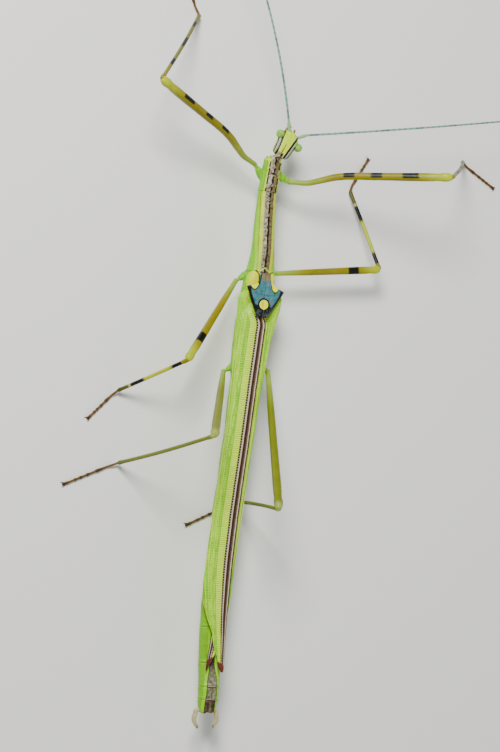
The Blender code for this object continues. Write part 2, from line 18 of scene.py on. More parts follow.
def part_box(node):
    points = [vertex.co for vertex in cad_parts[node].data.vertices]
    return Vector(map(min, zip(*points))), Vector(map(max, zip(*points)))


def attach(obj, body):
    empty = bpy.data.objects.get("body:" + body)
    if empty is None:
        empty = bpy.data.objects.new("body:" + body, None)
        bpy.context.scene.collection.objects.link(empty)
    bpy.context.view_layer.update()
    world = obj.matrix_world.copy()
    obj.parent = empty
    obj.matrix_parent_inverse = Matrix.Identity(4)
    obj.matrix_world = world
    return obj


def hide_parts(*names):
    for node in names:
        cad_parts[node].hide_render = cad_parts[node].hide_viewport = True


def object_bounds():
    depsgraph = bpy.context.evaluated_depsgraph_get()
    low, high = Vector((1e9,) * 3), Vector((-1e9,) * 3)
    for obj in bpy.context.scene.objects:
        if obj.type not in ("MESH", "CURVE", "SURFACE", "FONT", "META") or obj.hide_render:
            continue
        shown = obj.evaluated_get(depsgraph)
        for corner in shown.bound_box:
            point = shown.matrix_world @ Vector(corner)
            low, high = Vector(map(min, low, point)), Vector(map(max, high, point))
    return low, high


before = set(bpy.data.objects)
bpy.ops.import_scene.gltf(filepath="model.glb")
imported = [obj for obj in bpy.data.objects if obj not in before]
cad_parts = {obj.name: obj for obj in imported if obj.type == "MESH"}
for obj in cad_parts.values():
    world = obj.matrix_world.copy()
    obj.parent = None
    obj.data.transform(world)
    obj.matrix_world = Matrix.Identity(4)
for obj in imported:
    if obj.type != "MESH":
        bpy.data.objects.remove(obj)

bl_info = {
    "name": "Stick Insect",
    "version": (1, 0, 0),
    "blender": (4, 5, 0),
    "location": "3D View > Sidebar > Insect",
    "description": "Dresses the solids of a ring-legged stick insect",
    "category": "Add Mesh",
}

CAD_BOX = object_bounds()
MM = 0.001
UP = Vector((0, 0, 1))
BODY = "root"

THORAX = ("prothorax", "mesothorax", "metathorax")
ABDOMEN = tuple(f"abdomen_segment_{i:02d}" for i in range(2, 11))
TRUNK = THORAX + ABDOMEN
SIDES = {"left": -1, "right": 1}
PAIRS = ("fore", "mid", "hind")
LEGS = tuple(f"leg_{pair}_{side}" for pair in PAIRS for side in SIDES)
LEG_PARTS = ("coxa", "femur", "tibia", "tarsus")

# The cross-section of trunk, head and covers is a superellipse of this power.
ROUNDNESS = 2.3
# Sections are taken this far inside a solid's ends, clear of its rounded edges.
SECTION_MARGIN = 0.6


# ---------------------------------------------------------------- measuring the solids

SOLIDS = {}


def solid(name):
    """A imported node's corners in millimetres, and its triangles."""
    if name not in SOLIDS:
        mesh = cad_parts[name].data
        mesh.calc_loop_triangles()
        corners = np.empty(len(mesh.vertices) * 3)
        mesh.vertices.foreach_get("co", corners)
        triangles = np.empty(len(mesh.loop_triangles) * 3, int)
        mesh.loop_triangles.foreach_get("vertices", triangles)
        SOLIDS[name] = corners.reshape(-1, 3) / MM, triangles.reshape(-1, 3)
    return SOLIDS[name]


def box(name):
    """A node's lowest and highest corner, in millimetres."""
    return tuple(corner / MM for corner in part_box(name))


def cut(name, origin, normal, across, up):
    """The outline where a plane cuts a node: how far its points lie across and up from the origin."""
    corners, triangles = solid(name)
    height = (corners - np.array(origin)) @ np.array(normal)
    ends = np.concatenate([triangles[:, [0, 1]], triangles[:, [1, 2]], triangles[:, [2, 0]]])
    low, high = height[ends[:, 0]], height[ends[:, 1]]
    crossing = low * high < 0
    share = (low[crossing] / (low - high)[crossing])[:, None]
    first, second = corners[ends[crossing, 0]], corners[ends[crossing, 1]]
    points = first + (second - first) * share - np.array(origin)
    return points @ np.array(across), points @ np.array(up)


def section(name, point, heading):
    """The outline of a node's upright section at a point, square to a heading."""
    return cut(name, point, ahead_of(heading), beside(heading), UP)


def curve_through(rows, value):
    """Each column of rows at value, on a smooth curve through the rows; the first column is the key."""
    last = len(rows) - 1
    value = min(max(value, rows[0][0]), rows[last][0])
    i = 1
    while i < last and rows[i][0] < value:
        i += 1
    low, high = rows[i - 1], rows[i]
    span = high[0] - low[0]
    u = (value - low[0]) / span
    before, after = rows[max(i - 2, 0)], rows[min(i + 1, last)]
    result = []
    for k in range(1, len(low)):
        a, b = low[k], high[k]
        start = span * (b - before[k]) / (high[0] - before[0])
        end = span * (after[k] - a) / (after[0] - low[0])
        result.append(
            a + u * start + u * u * (3 * (b - a) - 2 * start - end) + u ** 3 * (2 * (a - b) + start + end)
        )
    return result


def smooth_step(low, high, value):
    """0 below low, 1 above high, and an S curve between."""
    u = min(max((value - low) / (high - low), 0.0), 1.0)
    return u * u * (3.0 - 2.0 * u)


def bell(value, centre, width):
    """A smooth bump of height 1 at centre."""
    return math.exp(-(((value - centre) / width) ** 2))


def round_off(value, start, length, least):
    """1 up to start, then a quarter circle over length that falls to the square root of least."""
    return math.sqrt(max(1 - max((value - start) / length, 0) ** 2, least))


def blunt(u, power, least=0.0):
    """A plateau of height 1 over u from 0 to 1, whose ends fall off the sharper the higher the power."""
    return math.sqrt(max(1 - (2 * u - 1) ** power, least))


def ahead_of(heading):
    """The level unit vector at this heading, in radians from +Y towards +X."""
    return Vector((math.sin(heading), math.cos(heading), 0))


def beside(heading):
    """The level unit vector to the right of this heading."""
    return Vector((math.cos(heading), -math.sin(heading), 0))


def rounded(angle, half_width, above, below):
    """How far across and up a superellipse lies at this angle, in radians from straight up to the right."""
    s, c = math.sin(angle), math.cos(angle)
    power = 2.0 / ROUNDNESS
    across = half_width * math.copysign(abs(s) ** power, s)
    return across, (above if c > 0 else below) * math.copysign(abs(c) ** power, c)


def measure_trunk():
    """Rows (y, x, z, half width, above, below) down the trunk, from tail to neck."""
    places = []
    for name in reversed(TRUNK):
        low, high = box(name)
        count = max(2, round((high.y - low.y) / 2.2))
        margin = min(SECTION_MARGIN, (high.y - low.y) * 0.36)
        inside = high.y - low.y - 2 * margin
        places += [(name, low.y + margin + inside * i / (count - 1)) for i in range(count)]
    line = []
    for name, y in places:
        across, _ = cut(name, (0, y, 0), (0, 1, 0), (1, 0, 0), UP)
        line.append((y, (across.min() + across.max()) / 2))
    rows = []
    for name, y in places:
        x = curve_through(line, y)[0]
        slope = curve_through(line, y + 1)[0] - curve_through(line, y - 1)[0]
        heading = math.atan2(slope, 2) if line[0][0] + 1 < y < line[-1][0] - 1 else 0
        origin = Vector((x, y, 0))
        across, rise = section(name, origin, heading)
        half_width = (across.max() - across.min()) / 2
        widest = rise[np.abs(across) > 0.985 * np.abs(across).max()]
        z = (widest.min() + widest.max()) / 2
        rows.append((y, x, z, half_width, rise.max() - z, z - rise.min()))
    return rows


TRUNK_ROWS = measure_trunk()
# Where one length of the trunk ends and the next begins, from the head backwards.
BORDERS = [(box(front)[0].y + box(back)[1].y) / 2 for front, back in zip(TRUNK, TRUNK[1:])]
TRUNK_FRONT = box("prothorax")[1].y - 0.25
TRUNK_BACK = box(ABDOMEN[-1])[0].y


@lru_cache(maxsize=None)
def trunk_at(y):
    """The trunk's middle point, heading and (half width, above, below) at y."""
    x, z, *size = curve_through(TRUNK_ROWS, y)
    span = 0.8
    ahead = curve_through(TRUNK_ROWS, y + span)[0]
    behind = curve_through(TRUNK_ROWS, y - span)[0]
    low, high = TRUNK_ROWS[0][0], TRUNK_ROWS[-1][0]
    run = min(y + span, high) - max(y - span, low)
    return Vector((x, y, z)), math.atan2(ahead - behind, run), size


# The head is turned about its own length, its top towards the animal's left.
HEAD_ROLL = math.radians(17)


class Head:
    """The head's own frame and its outline, measured on its solid."""

    def __init__(self):
        corners, _ = solid("head")
        level = corners[:, :2] - corners[:, :2].mean(0)
        axis = np.linalg.svd(level, full_matrices=False)[2][0]
        mouth = sum(box("mouthparts"), Vector()) / 2
        middle = Vector((*corners[:, :2].mean(0), 0))
        if axis @ np.array((mouth - middle).xy) < 0:
            axis = -axis
        self.heading = math.atan2(axis[0], axis[1])
        self.ahead, self.right = ahead_of(self.heading), beside(self.heading)
        reach = (corners - np.array(middle)) @ np.array(self.ahead)
        self.back = middle + self.ahead * reach.min()
        self.length = reach.max() - reach.min()
        count = 14
        rows = []
        for i in range(count):
            t = 0.04 + (self.length - 0.08) * i / (count - 1)
            across, rise = section("head", self.back + self.ahead * t, self.heading)
            widest = rise[np.abs(across) > 0.97 * np.abs(across).max()]
            rows.append((t, (across.max() - across.min()) / 2, widest.mean(), rise.max(), rise.min()))
        self.back.z = sum(row[2] for row in rows) / count
        self.rows = [(t, w, top - self.back.z, self.back.z - low) for t, w, _, top, low in rows]

    def place(self, t, across=0.0, rise=0.0):
        """A point this far forward of the neck, to the right of the middle and above it."""
        return self.back + self.ahead * t + self.right * across + UP * rise

    def locate(self, point):
        """The same three distances for a point."""
        away = point - self.back
        return away.dot(self.ahead), away.dot(self.right), away.z

    def rolled(self, point):
        """How far across and up a point lies on the head's pattern, which is rolled to the left."""
        _, across, rise = self.locate(point)
        s, c = math.sin(HEAD_ROLL), math.cos(HEAD_ROLL)
        return across * c + rise * s, rise * c - across * s


HEAD = Head()


def middle_of(name):
    """The middle of a node's box."""
    low, high = box(name)
    return (low + high) / 2


def limb_rows(name, near, first=0.03, last=0.97, count=12):
    """Rows (share, x, y, z, radius) along a limb's solid, from its end nearest to a point."""
    corners, _ = solid(name)
    middle = corners.mean(0)
    axis = np.linalg.svd(corners - middle, full_matrices=False)[2][0]
    if axis @ (np.array(near) - middle) > 0:
        axis = -axis
    reach = (corners - middle) @ axis
    low, length = reach.min(), reach.max() - reach.min()
    side = np.cross(axis, (0.0, 0.0, 1.0))
    side /= np.linalg.norm(side)
    up = np.cross(side, axis)
    rows = []
    for i in range(count):
        share = first + (last - first) * i / (count - 1)
        origin = middle + axis * (low + length * share)
        across, rise = cut(name, origin, axis, side, up)
        centre = origin + side * (across.min() + across.max()) / 2 + up * (rise.min() + rise.max()) / 2
        radius = (across.max() - across.min() + rise.max() - rise.min()) / 4
        rows.append((share, *centre, radius))
    return rows


def row_end(rows, which):
    """The point at one end of a limb's rows, carried on past its last section to the solid's end."""
    if which == "start":
        here, there, share = rows[0], rows[1], 0.0
    else:
        here, there, share = rows[-1], rows[-2], 1.0
    slope = (np.array(there[1:4]) - np.array(here[1:4])) / (there[0] - here[0])
    return Vector(np.array(here[1:4]) + slope * (share - here[0]))


class Leg:
    """One leg's joints and lines, measured on its solids from the hip outwards."""

    def __init__(self, name):
        self.name = name
        self.pair, self.side = name.split("_")[1:]
        trunk, _, _ = trunk_at(middle_of(name + "_coxa").y)
        self.femur = limb_rows(name + "_femur", trunk, last=0.92)
        self.base = row_end(self.femur, "start")
        femur_end = row_end(self.femur, "end")
        self.tibia = limb_rows(name + "_tibia", femur_end)
        self.knee = row_end(self.tibia, "start")
        self.ankle = row_end(self.tibia, "end")
        coxa = middle_of(name + "_coxa")
        self.out = (self.base - coxa).normalized()
        self.hip = coxa - self.out * (self.base - coxa).length
        corners, _ = solid(name + "_tarsus")
        level = corners[:, :2] - corners[:, :2].mean(0)
        axis = np.linalg.svd(level, full_matrices=False)[2][0]
        foot = Vector((*axis, 0)).normalized()
        toe = Vector((*corners[:, :2].mean(0), 0))
        if foot.dot(toe - Vector((*self.ankle.xy, 0))) < 0:
            foot = -foot
        self.foot = foot
        self.foot_length = (corners @ np.array(foot)).max() - self.ankle.dot(foot)


# ---------------------------------------------------------------- settings


def from_code(code):
    """A linear colour from its six-digit screen code."""
    screen = [int(code[i:i + 2], 16) / 255 for i in (0, 2, 4)]
    return tuple(c / 12.92 if c <= 0.04045 else ((c + 0.055) / 1.055) ** 2.4 for c in screen)


def tint(name, description, code):
    """A colour setting."""
    return FloatVectorProperty(
        name=name, description=description, default=from_code(code), subtype="COLOR", min=0, max=1
    )


def length(name, description, default):
    """A length setting, in millimetres."""
    return FloatProperty(
        name=name, description=description, default=default, min=0.0, unit="NONE", precision=3
    )


class InsectColours(PropertyGroup):
    """The animal's colours."""

    head_plate: tint("Head plate", "Yellow-green plate on top of the head", "D0EE00")
    head_rim: tint("Head rim", "Pale edges of the head's plate", "DCE850")
    head_side: tint("Head sides", "Green cheeks and underside of the head", "90BE14")
    eye: tint("Eyes", "Pale green compound eyes", "94CC44")
    eye_line: tint("Eye line", "Pale line behind each eye", "BDB69E")
    black: tint("Black", "Stripes, rings and edges", "0E100A")
    green: tint("Green", "Flanks of the thorax", "7CC400")
    pale_green: tint("Pale green", "Belly and the lower flanks", "A6D838")
    abdomen: tint("Abdomen", "Flanks and rear plates of the abdomen", "7CBC00")
    yellow: tint("Yellow", "Pale lines beside the back stripe", "C4DC20")
    patch: tint("Shoulder patch", "Bright yellow shoulder patches", "F4F400")
    spot: tint("Spot", "Round yellow spot on the wing covers", "EAE000")
    blue: tint("Blue", "Blue shield of the wing covers", "286880")
    teal: tint("Teal", "Greener parts of the shield", "2C8480")
    cover_grey: tint("Shield grey", "Grey clouds of the shield", "5C7278")
    stripe: tint("Back stripe", "Pinkish grey side of the back stripe", "9C8F72")
    stripe_pale: tint("Pale back stripe", "Palest clouds of the back stripe", "CFC3B4")
    stripe_brown_and_shade: tint("Dark back stripe", "Brown side of the back stripe", "7C6A42")
    # Brown of the head's middle line, the leg specks, the cercus tips and the covers' front; on the back
    # stripe's right half it is painted shade.
    stripe_deep: tint("Deep back stripe", "Dark flecks of the back stripe", "3C3018")
    tail_grey: tint("Tail grey", "Grey-brown stripe on the last plates", "6C6A4C")
    tail_pale: tint("Pale tail grey", "Pale clouds of the last plates", "918E6E")
    tail_purple: tint("Tail purple", "Front of the tail's stripe", "4A3540")
    tail_brown: tint("Tail brown", "Last plate", "6E5038")
    wing: tint("Wing", "Lime green of the hind wings", "7CCB00")
    wing_light: tint("Light wing", "Lighter green veins and shoulder of the wings", "9BDB12")
    wing_deep: tint("Deep wing", "Darker green lines and cells of the wings", "5FA800")
    wing_pale: tint("Pale wing", "Pale zone beside the brown bundle", "DCFA3C")
    bundle: tint("Bundle", "Dark brown band of the wing's inner edge", "3C2418")
    bundle_edge: tint("Bundle edge", "Olive black line beside the pale zone", "16140A")
    pink: tint("Pink", "Pale pinkish bands of the wing's inner edge", "D2C0A4")
    pink_grey: tint("Pink grey", "Greyer pinkish band of the wing's inner edge", "7A5E4C")
    wing_tip: tint("Wing tip", "Reddish brown of the wing tips", "6A3424")
    leg: tint("Leg", "Olive-yellow of the femora", "877C06")
    leg_pale: tint("Pale leg", "Greener leg bases and hips", "97AC38")
    leg_bright: tint("Bright leg", "Yellow stretches and knees of the legs", "B4BE14")
    tibia: tint("Tibia", "Olive tibiae", "6C6E1A")
    hind_leg: tint("Hind leg", "Olive of the hind legs", "747C0A")
    hind_knee: tint("Hind knee", "Greenish white of the hind knees", "98A648")
    tarsus: tint("Foot", "Reddish brown feet", "6B4A18")
    scape: tint("Feeler base", "Pale first joint of the feelers", "9CB878")
    feeler: tint("Feeler", "Teal-grey feelers", "7FA79A")
    cercus: tint("Cercus", "Beige hooked tail feelers", "BDB182")
    mouth: tint("Mouthparts", "Brown mouthparts", "8A5A2E")
    floor: tint("Floor", "Plain pale floor", "F0EEE8")


class InsectSizes(PropertyGroup):
    """The animal's fine sizes, in millimetres, which the solids don't carry."""

    body_sides: IntProperty(name="Body sides", description="Faces round the body", default=72, min=16)
    body_step: length("Body step", "Distance between the body's rings", 0.17)
    limb_sides: IntProperty(name="Limb sides", description="Faces round a leg", default=20, min=8)
    wing_thickness: length("Wing thickness", "Thickness of a hind wing", 0.22)
    cover_thickness: length("Cover thickness", "Thickness of a wing cover", 0.34)
    vein_radius: length("Vein radius", "Radius of a long wing vein", 0.045)
    rung_radius: length("Rung radius", "Radius of a cross vein", 0.022)
    rung_spacing: length("Rung spacing", "Distance between cross veins", 0.34)
    feeler_base_radius: length("Feeler base radius", "Radius where the whip begins", 0.15)
    feeler_tip_radius: length("Feeler tip radius", "Radius at the whip's tip", 0.085)
    feeler_joints: IntProperty(name="Feeler joints", description="Joints in one whip", default=58, min=4)
    granule_radius: length("Granule radius", "Radius of the thorax granules", 0.045)
    granule_density: FloatProperty(
        name="Granule density", description="Granules on each square millimetre", default=4.2, min=0
    )
    claw_length: length("Claw length", "Length of a claw", 0.75)


class InsectSettings(PropertyGroup):
    """Everything a user would change."""

    colours: PointerProperty(type=InsectColours, name="Colours", description="The animal's colours")
    sizes: PointerProperty(type=InsectSizes, name="Sizes", description="The animal's fine sizes")


def settings():
    """The scene's insect settings."""
    return bpy.context.scene.stick_insect


# ---------------------------------------------------------------- making meshes


class Surface:
    """Lofted surfaces gathered into one mesh, with a note at each point of where it lies."""

    def __init__(self):
        self.points, self.lies, self.faces, self.finishes = [], [], [], []

    def loft(self, rings, lies, finish=0, closed=True, capped=True):
        """Join rings of points; lies gives each point's place for the pattern, finish a face's material."""
        start, count = len(self.points), len(rings[0])
        for ring, row in zip(rings, lies):
            self.points += ring
            self.lies += row
        pick = finish if callable(finish) else lambda i: finish
        for i in range(len(rings) - 1):
            a, b = start + i * count, start + (i + 1) * count
            for j in range(count if closed else count - 1):
                k = (j + 1) % count
                self.faces.append((a + j, a + k, b + k, b + j))
                self.finishes.append(pick(i))
        if capped:
            for i in (0, len(rings) - 1):
                self.cap(start + i * count, count, rings[i], lies[i], pick(min(i, len(rings) - 2)))

    def cap(self, start, count, ring, row, finish):
        """Close the end of a loft with a fan round its middle."""
        middle = len(self.points)
        self.points.append(sum(ring, Vector()) / count)
        self.lies.append(tuple(sum(lie[k] for lie in row) / count for k in range(3)))
        for j in range(count):
            self.faces.append((start + j, start + (j + 1) % count, middle))
            self.finishes.append(finish)

    def finish_as(self, name, materials):
        """The finished object, at the origin, in metres, with its faces pointing out."""
        mesh = bpy.data.meshes.new(name)
        mesh.from_pydata([tuple(point * MM) for point in self.points], [], self.faces)
        for material in materials:
            mesh.materials.append(material)
        mesh.polygons.foreach_set("material_index", self.finishes)
        lie = mesh.attributes.new("lie", "FLOAT_VECTOR", "POINT")
        lie.data.foreach_set("vector", [value for row in self.lies for value in row])
        work = bmesh.new()
        work.from_mesh(mesh)
        bmesh.ops.recalc_face_normals(work, faces=work.faces)
        work.to_mesh(mesh)
        work.free()
        mesh.shade_smooth()
        return place(bpy.data.objects.new(name, mesh))


def place(piece):
    """Put a piece in the scene."""
    bpy.context.scene.collection.objects.link(piece)
    return piece


def hand_over(piece, nodes):
    """Ride on the animal's one body and stand for its solids."""
    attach(piece, BODY)
    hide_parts(*nodes)


def tube(surface, line, radius_at, sides, finish, relief=None, lie_at=None, step=0.3, on_floor=False):
    """Loft a limb along a line of (share, x, y, z) rows; radius_at gives its radius at a share.

    The pattern's place on a limb is how far the skin faces the head, the share, and how far it faces up.
    """
    first, last = line[0][0], line[-1][0]
    start, end = Vector(curve_through(line, first)[:3]), Vector(curve_through(line, last)[:3])
    count = max(4, round((end - start).length / step))
    shares = [first + (last - first) * i / count for i in range(count + 1)]
    ends = [0.0, 0.004, 0.012, 0.025]
    shares = sorted(set(shares + [first + (last - first) * e for e in ends]
                        + [last - (last - first) * e for e in ends]))
    rings, lies = [], []
    side = None
    for share in shares:
        centre = Vector(curve_through(line, share)[:3])
        span = (last - first) * 0.01
        behind = Vector(curve_through(line, max(share - span, first))[:3])
        ahead = Vector(curve_through(line, min(share + span, last))[:3])
        along = (ahead - behind).normalized()
        if side is None:
            side = along.cross(UP).normalized()
        side = (side - along * side.dot(along)).normalized()
        over = side.cross(along)
        if over.z < 0:
            side, over = -side, -over
        radius = radius_at(share)
        ring, row = [], []
        for k in range(sides):
            angle = 2 * math.pi * k / sides
            facing = over * math.cos(angle) + side * math.sin(angle)
            reach = radius * (1 + (relief(share, angle, facing) if relief else 0))
            point = centre + facing * reach
            if on_floor:
                point.z = max(point.z, 0.0)
            ring.append(point)
            u = (share - first) / (last - first)
            row.append(lie_at(u, facing) if lie_at else (facing.y, u, facing.z))
        rings.append(ring)
        lies.append(row)
    surface.loft(rings, lies, finish)


# ---------------------------------------------------------------- the skin

HEAD_FINISH, THORAX_FINISH, ABDOMEN_FINISH, HIP_FINISH, CERCUS_FINISH, FOOT_FINISH = range(6)
LIMB_FINISHES = {
    ("fore", "femur"): 6, ("fore", "tibia"): 7, ("mid", "femur"): 8, ("mid", "tibia"): 9,
    ("hind", "femur"): 10, ("hind", "tibia"): 11,
}

COVER_TOP = box("tegmen_left")[1].y
PRONOTUM_BACK = BORDERS[0]
PRONOTUM_FURROW = BORDERS[0] + 0.52 * (TRUNK_FRONT - BORDERS[0])
MESOTHORAX_BACK = BORDERS[1]
ABDOMEN_FRONT = BORDERS[2]
# The bright shoulder patches in front of the wing covers: middle and half sizes.
PATCH_ACROSS, PATCH_AT = 1.44, COVER_TOP - 1.15
PATCH_HALF_WIDTH, PATCH_HALF_LENGTH = 0.78, 1.3
# Their outline wavers: the size of the noise in metres, and how far it moves the edge.
PATCH_WOBBLE = 0.0006, 0.12
# Their rear ends, painted on the covers: middle, half width, and how far both lean to the left.
PATCH_END_ACROSS, PATCH_END_HALF_WIDTH, PATCH_END_LEAN = 1.62, 0.62, 0.2
# The head's plate: half its width at the neck, and how much it gains with each millimetre forwards.
PLATE_BACK, PLATE_SPREAD = 0.47, 0.105
# The thorax narrows to this share of its size over its last stretch, where the neck begins.
NECK_SHARE = 0.8
SHOULDER_LENGTH = 0.7
# The neck meets the head this far from its back, at this share of its size, after this many steps.
HEAD_START, HEAD_SHARE, NECK_STEPS = 0.1, 0.92, 8
# The middle of the raised collar at the thorax's front.
COLLAR_AT = TRUNK_FRONT - SHOULDER_LENGTH * 0.6


def trunk_relief(point, y, angle, across, half_width):
    """How far the trunk's skin stands out from its plain outline, in millimetres."""
    turn = abs(math.degrees(angle))
    top = smooth_step(100, 70, turn)
    share = abs(across) / half_width
    border = min(BORDERS, key=lambda b: abs(b - y))
    past = y - border
    # The groove at each border, and the raised rim in front of it.
    relief = -0.11 * bell(past, -0.03, 0.055) + 0.05 * bell(past, 0.2, 0.17) * (past > -0.1)
    if y < ABDOMEN_FRONT:
        # Swellings beside each border, the flank's seam and its edge, a middle line, and a rough tail.
        relief += 0.13 * bell(past, -0.12, 0.3) * bell(turn, 88, 15)
        relief -= 0.07 * bell(turn, 117, 4)
        relief += 0.03 * bell(turn, 108, 6)
        relief += 0.02 * bell(across, 0, 0.12) * top
        relief += 0.09 * noise.noise(point * 3.2) * top * smooth_step(BORDERS[-2], BORDERS[-1] - 0.3, y)
    elif y < PRONOTUM_BACK:
        # A middle keel, the edge of the back, the flank's seam and its edge, and lengthwise streaks.
        relief += 0.05 * bell(across, 0, 0.11) * top
        relief += 0.05 * bell(share, 0.74, 0.07) * top
        relief -= 0.06 * bell(turn, 104, 5)
        relief += 0.04 * bell(turn, 94, 5)
        streak = noise.noise(Vector((across * 1.2, y * 0.35, turn * 0.09)))
        relief += 0.05 * streak * smooth_step(30, 50, turn)
    else:
        # The curved furrow across the front plate, its collar, its raised borders with a groove inside each,
        # the middle line, and the flank's seam.
        relief -= 0.13 * bell(y, PRONOTUM_FURROW + 0.35 * share, 0.13) * top
        relief += 0.07 * bell(y, COLLAR_AT, 0.14)
        relief += 0.07 * bell(share, 0.66, 0.09) * top
        relief -= 0.06 * bell(share, 0.5, 0.06) * top
        relief -= 0.05 * bell(across, 0, 0.07) * top
        relief += 0.05 * noise.noise(point * 2.6) * top
        relief -= 0.06 * bell(turn, 102, 5)
    # The swollen shoulder patches, the belly's middle line, and a general unevenness.
    lateral, down = (abs(across) - PATCH_ACROSS) / PATCH_HALF_WIDTH, (y - PATCH_AT) / PATCH_HALF_LENGTH
    relief += 0.2 * bell(math.hypot(lateral, down), 0, 0.75) * (turn < 90)
    relief -= 0.05 * bell(turn, 180, 9)
    relief += 0.022 * noise.noise(point * 1.6) + 0.012 * noise.noise(point * 4.5)
    return relief


def plate_half_width(t):
    """Half the width of the head's plate, which widens forwards."""
    return PLATE_BACK + PLATE_SPREAD * t


def head_relief(point):
    """How far the head's skin stands out: eye rims, feeler sockets, vertex furrow and face grooves."""
    t = HEAD.locate(point)[0]
    across, rise = HEAD.rolled(point)
    over = smooth_step(0.1, 0.5, rise)
    relief = 0.0
    # Rims round the eyes and the feelers' sockets.
    for side in SIDES:
        eye = middle_of(f"eye_{side}")
        radius = (box(f"eye_{side}")[1] - box(f"eye_{side}")[0]).x / 2
        away = (point - eye).length
        relief += 0.09 * bell(away, radius * 1.28, 0.12)
        socket = FEELER_BASES[side]
        relief += 0.12 * bell((point - socket).length, 0.3, 0.12)
    # The furrow down the crown, the plate's raised edge with a groove outside it, and the eye line's ridge.
    relief -= 0.05 * bell(across, 0, 0.06) * over * smooth_step(2.6, 1.9, t)
    edge = plate_half_width(t)
    relief += 0.04 * bell(abs(across), edge - 0.06, 0.07) * over
    relief -= 0.05 * bell(abs(across), edge + 0.14, 0.09) * over
    relief += 0.05 * bell(abs(across), edge + 0.39, 0.11) * over * smooth_step(2.6, 2.2, t)
    # The knobs between the feelers, the groove behind them, the cheeks and the throat.
    relief += 0.11 * bell(abs(across), 0.34, 0.16) * bell(t, HEAD.length - 0.42, 0.2) * over
    relief -= 0.05 * bell(t, HEAD.length - 0.75, 0.06) * over * (abs(across) < 0.8)
    relief += 0.05 * bell(t, 0.75, 0.35) * bell(rise, -0.2, 0.5)
    relief -= 0.05 * bell(across, 0, 0.2) * smooth_step(-0.4, -0.8, rise)
    relief += 0.012 * noise.noise(point * 3.0)
    return relief


def neck_step(u):
    """A station of the neck, from the thorax's front to the head's back: point, heading and size."""
    start, first_heading, size = trunk_at(TRUNK_FRONT)
    end = HEAD.place(HEAD_START)
    reach = (end - start).length
    first, last = ahead_of(first_heading) * reach, HEAD.ahead * reach
    point = start * (2 * u ** 3 - 3 * u ** 2 + 1) + first * (u ** 3 - 2 * u ** 2 + u)
    point += end * (3 * u ** 2 - 2 * u ** 3) + last * (u ** 3 - u ** 2)
    heading = first_heading + (HEAD.heading - first_heading) * smooth_step(0, 1, u)
    head_size = curve_through(HEAD.rows, HEAD_START)
    mixed = [a * NECK_SHARE + (b * HEAD_SHARE - a * NECK_SHARE) * u for a, b in zip(size, head_size)]
    return point, heading, mixed


def body_stations(step):
    """Stations (kind, key, point, heading, size) from tail to face, closer where grooves are cut."""
    keys, y = [], TRUNK_BACK + 0.02
    while y < TRUNK_FRONT:
        keys.append(y)
        near = min([abs(y - border) for border in BORDERS] + [y - TRUNK_BACK, TRUNK_FRONT - y])
        y += step * (0.25 if near < 0.3 else 0.6 if near < 0.6 else 1.0)
    keys.append(TRUNK_FRONT)
    stations = [("trunk", y, *trunk_at(y)) for y in keys]
    for i in range(1, NECK_STEPS):
        stations.append(("neck", i / NECK_STEPS, *neck_step(i / NECK_STEPS)))
    count = round(HEAD.length / (step * 0.5))
    for i in range(count + 1):
        t = HEAD_START + (HEAD.length - HEAD_START) * (i / count)
        stations.append(("head", t, HEAD.place(t), HEAD.heading, curve_through(HEAD.rows, t)))
    return stations


# The lengths over which the body's two ends are rounded off, and how deep the last plate's end is notched.
TAIL_ROUNDING, FACE_ROUNDING, TAIL_NOTCH = 0.6, 0.25, 0.3


def end_taper(kind, key):
    """Rounds off the body's two ends and the thorax's shoulder into the neck."""
    if kind == "trunk":
        tail = round_off(TRUNK_BACK - key, -TAIL_ROUNDING, TAIL_ROUNDING, 0.02)
        shoulder = max(key - TRUNK_FRONT + SHOULDER_LENGTH, 0) / SHOULDER_LENGTH
        return tail * math.sqrt(1 - (1 - NECK_SHARE ** 2) * shoulder ** 2)
    if kind == "head":
        return round_off(key - HEAD.length - 0.02, -FACE_ROUNDING, FACE_ROUNDING, 0.02)
    return 1.0


def add_body(surface, legs, sides, step):
    """Trunk, neck and head as one continuous surface."""
    rings, lies, kinds = [], [], []
    hips = [leg.hip.lerp(leg.base, 0.35) for leg in legs]
    for kind, key, centre, heading, size in body_stations(step):
        right = beside(heading)
        taper = end_taper(kind, key)
        half_width, above, below = (value * taper for value in size)
        ring, row = [], []
        near_hips = [hip for hip in hips if abs(hip.y - centre.y) < 2.5]
        for k in range(sides):
            angle = 2 * math.pi * (k + 0.5) / sides
            angle -= 2 * math.pi * (angle > math.pi)
            across, rise = rounded(angle, half_width, above, below)
            point = centre + right * across + UP * rise
            height = rise / (above if rise > 0 else below)
            outward = (right * (across / half_width) + UP * height).normalized()
            if kind == "trunk":
                relief = trunk_relief(point, key, angle, across, half_width)
                relief += sum(0.22 * bell((point - hip).length, 0, 0.75) for hip in near_hips)
            elif kind == "head":
                relief = head_relief(point)
                across, rise = HEAD.rolled(point)
            else:
                relief = -0.05 * math.cos(6 * math.pi * key) + 0.03 * noise.noise(point * 4)
            notch = TAIL_NOTCH * bell(across, 0, 0.3) * (kind == "trunk")
            notch *= smooth_step(TRUNK_BACK + TAIL_ROUNDING, TRUNK_BACK, key)
            ring.append(point + outward * relief * taper + ahead_of(heading) * notch)
            facing = rise / (above if rise > 0 else below) if kind == "head" else math.cos(angle)
            row.append((across, key, facing))
        rings.append(ring)
        lies.append(row)
        kinds.append(kind if kind != "trunk" or key > ABDOMEN_FRONT else "abdomen")
    finishes = {
        "head": HEAD_FINISH, "neck": THORAX_FINISH, "trunk": THORAX_FINISH, "abdomen": ABDOMEN_FINISH
    }
    surface.loft(rings, lies, lambda i: finishes[kinds[i + 1]])


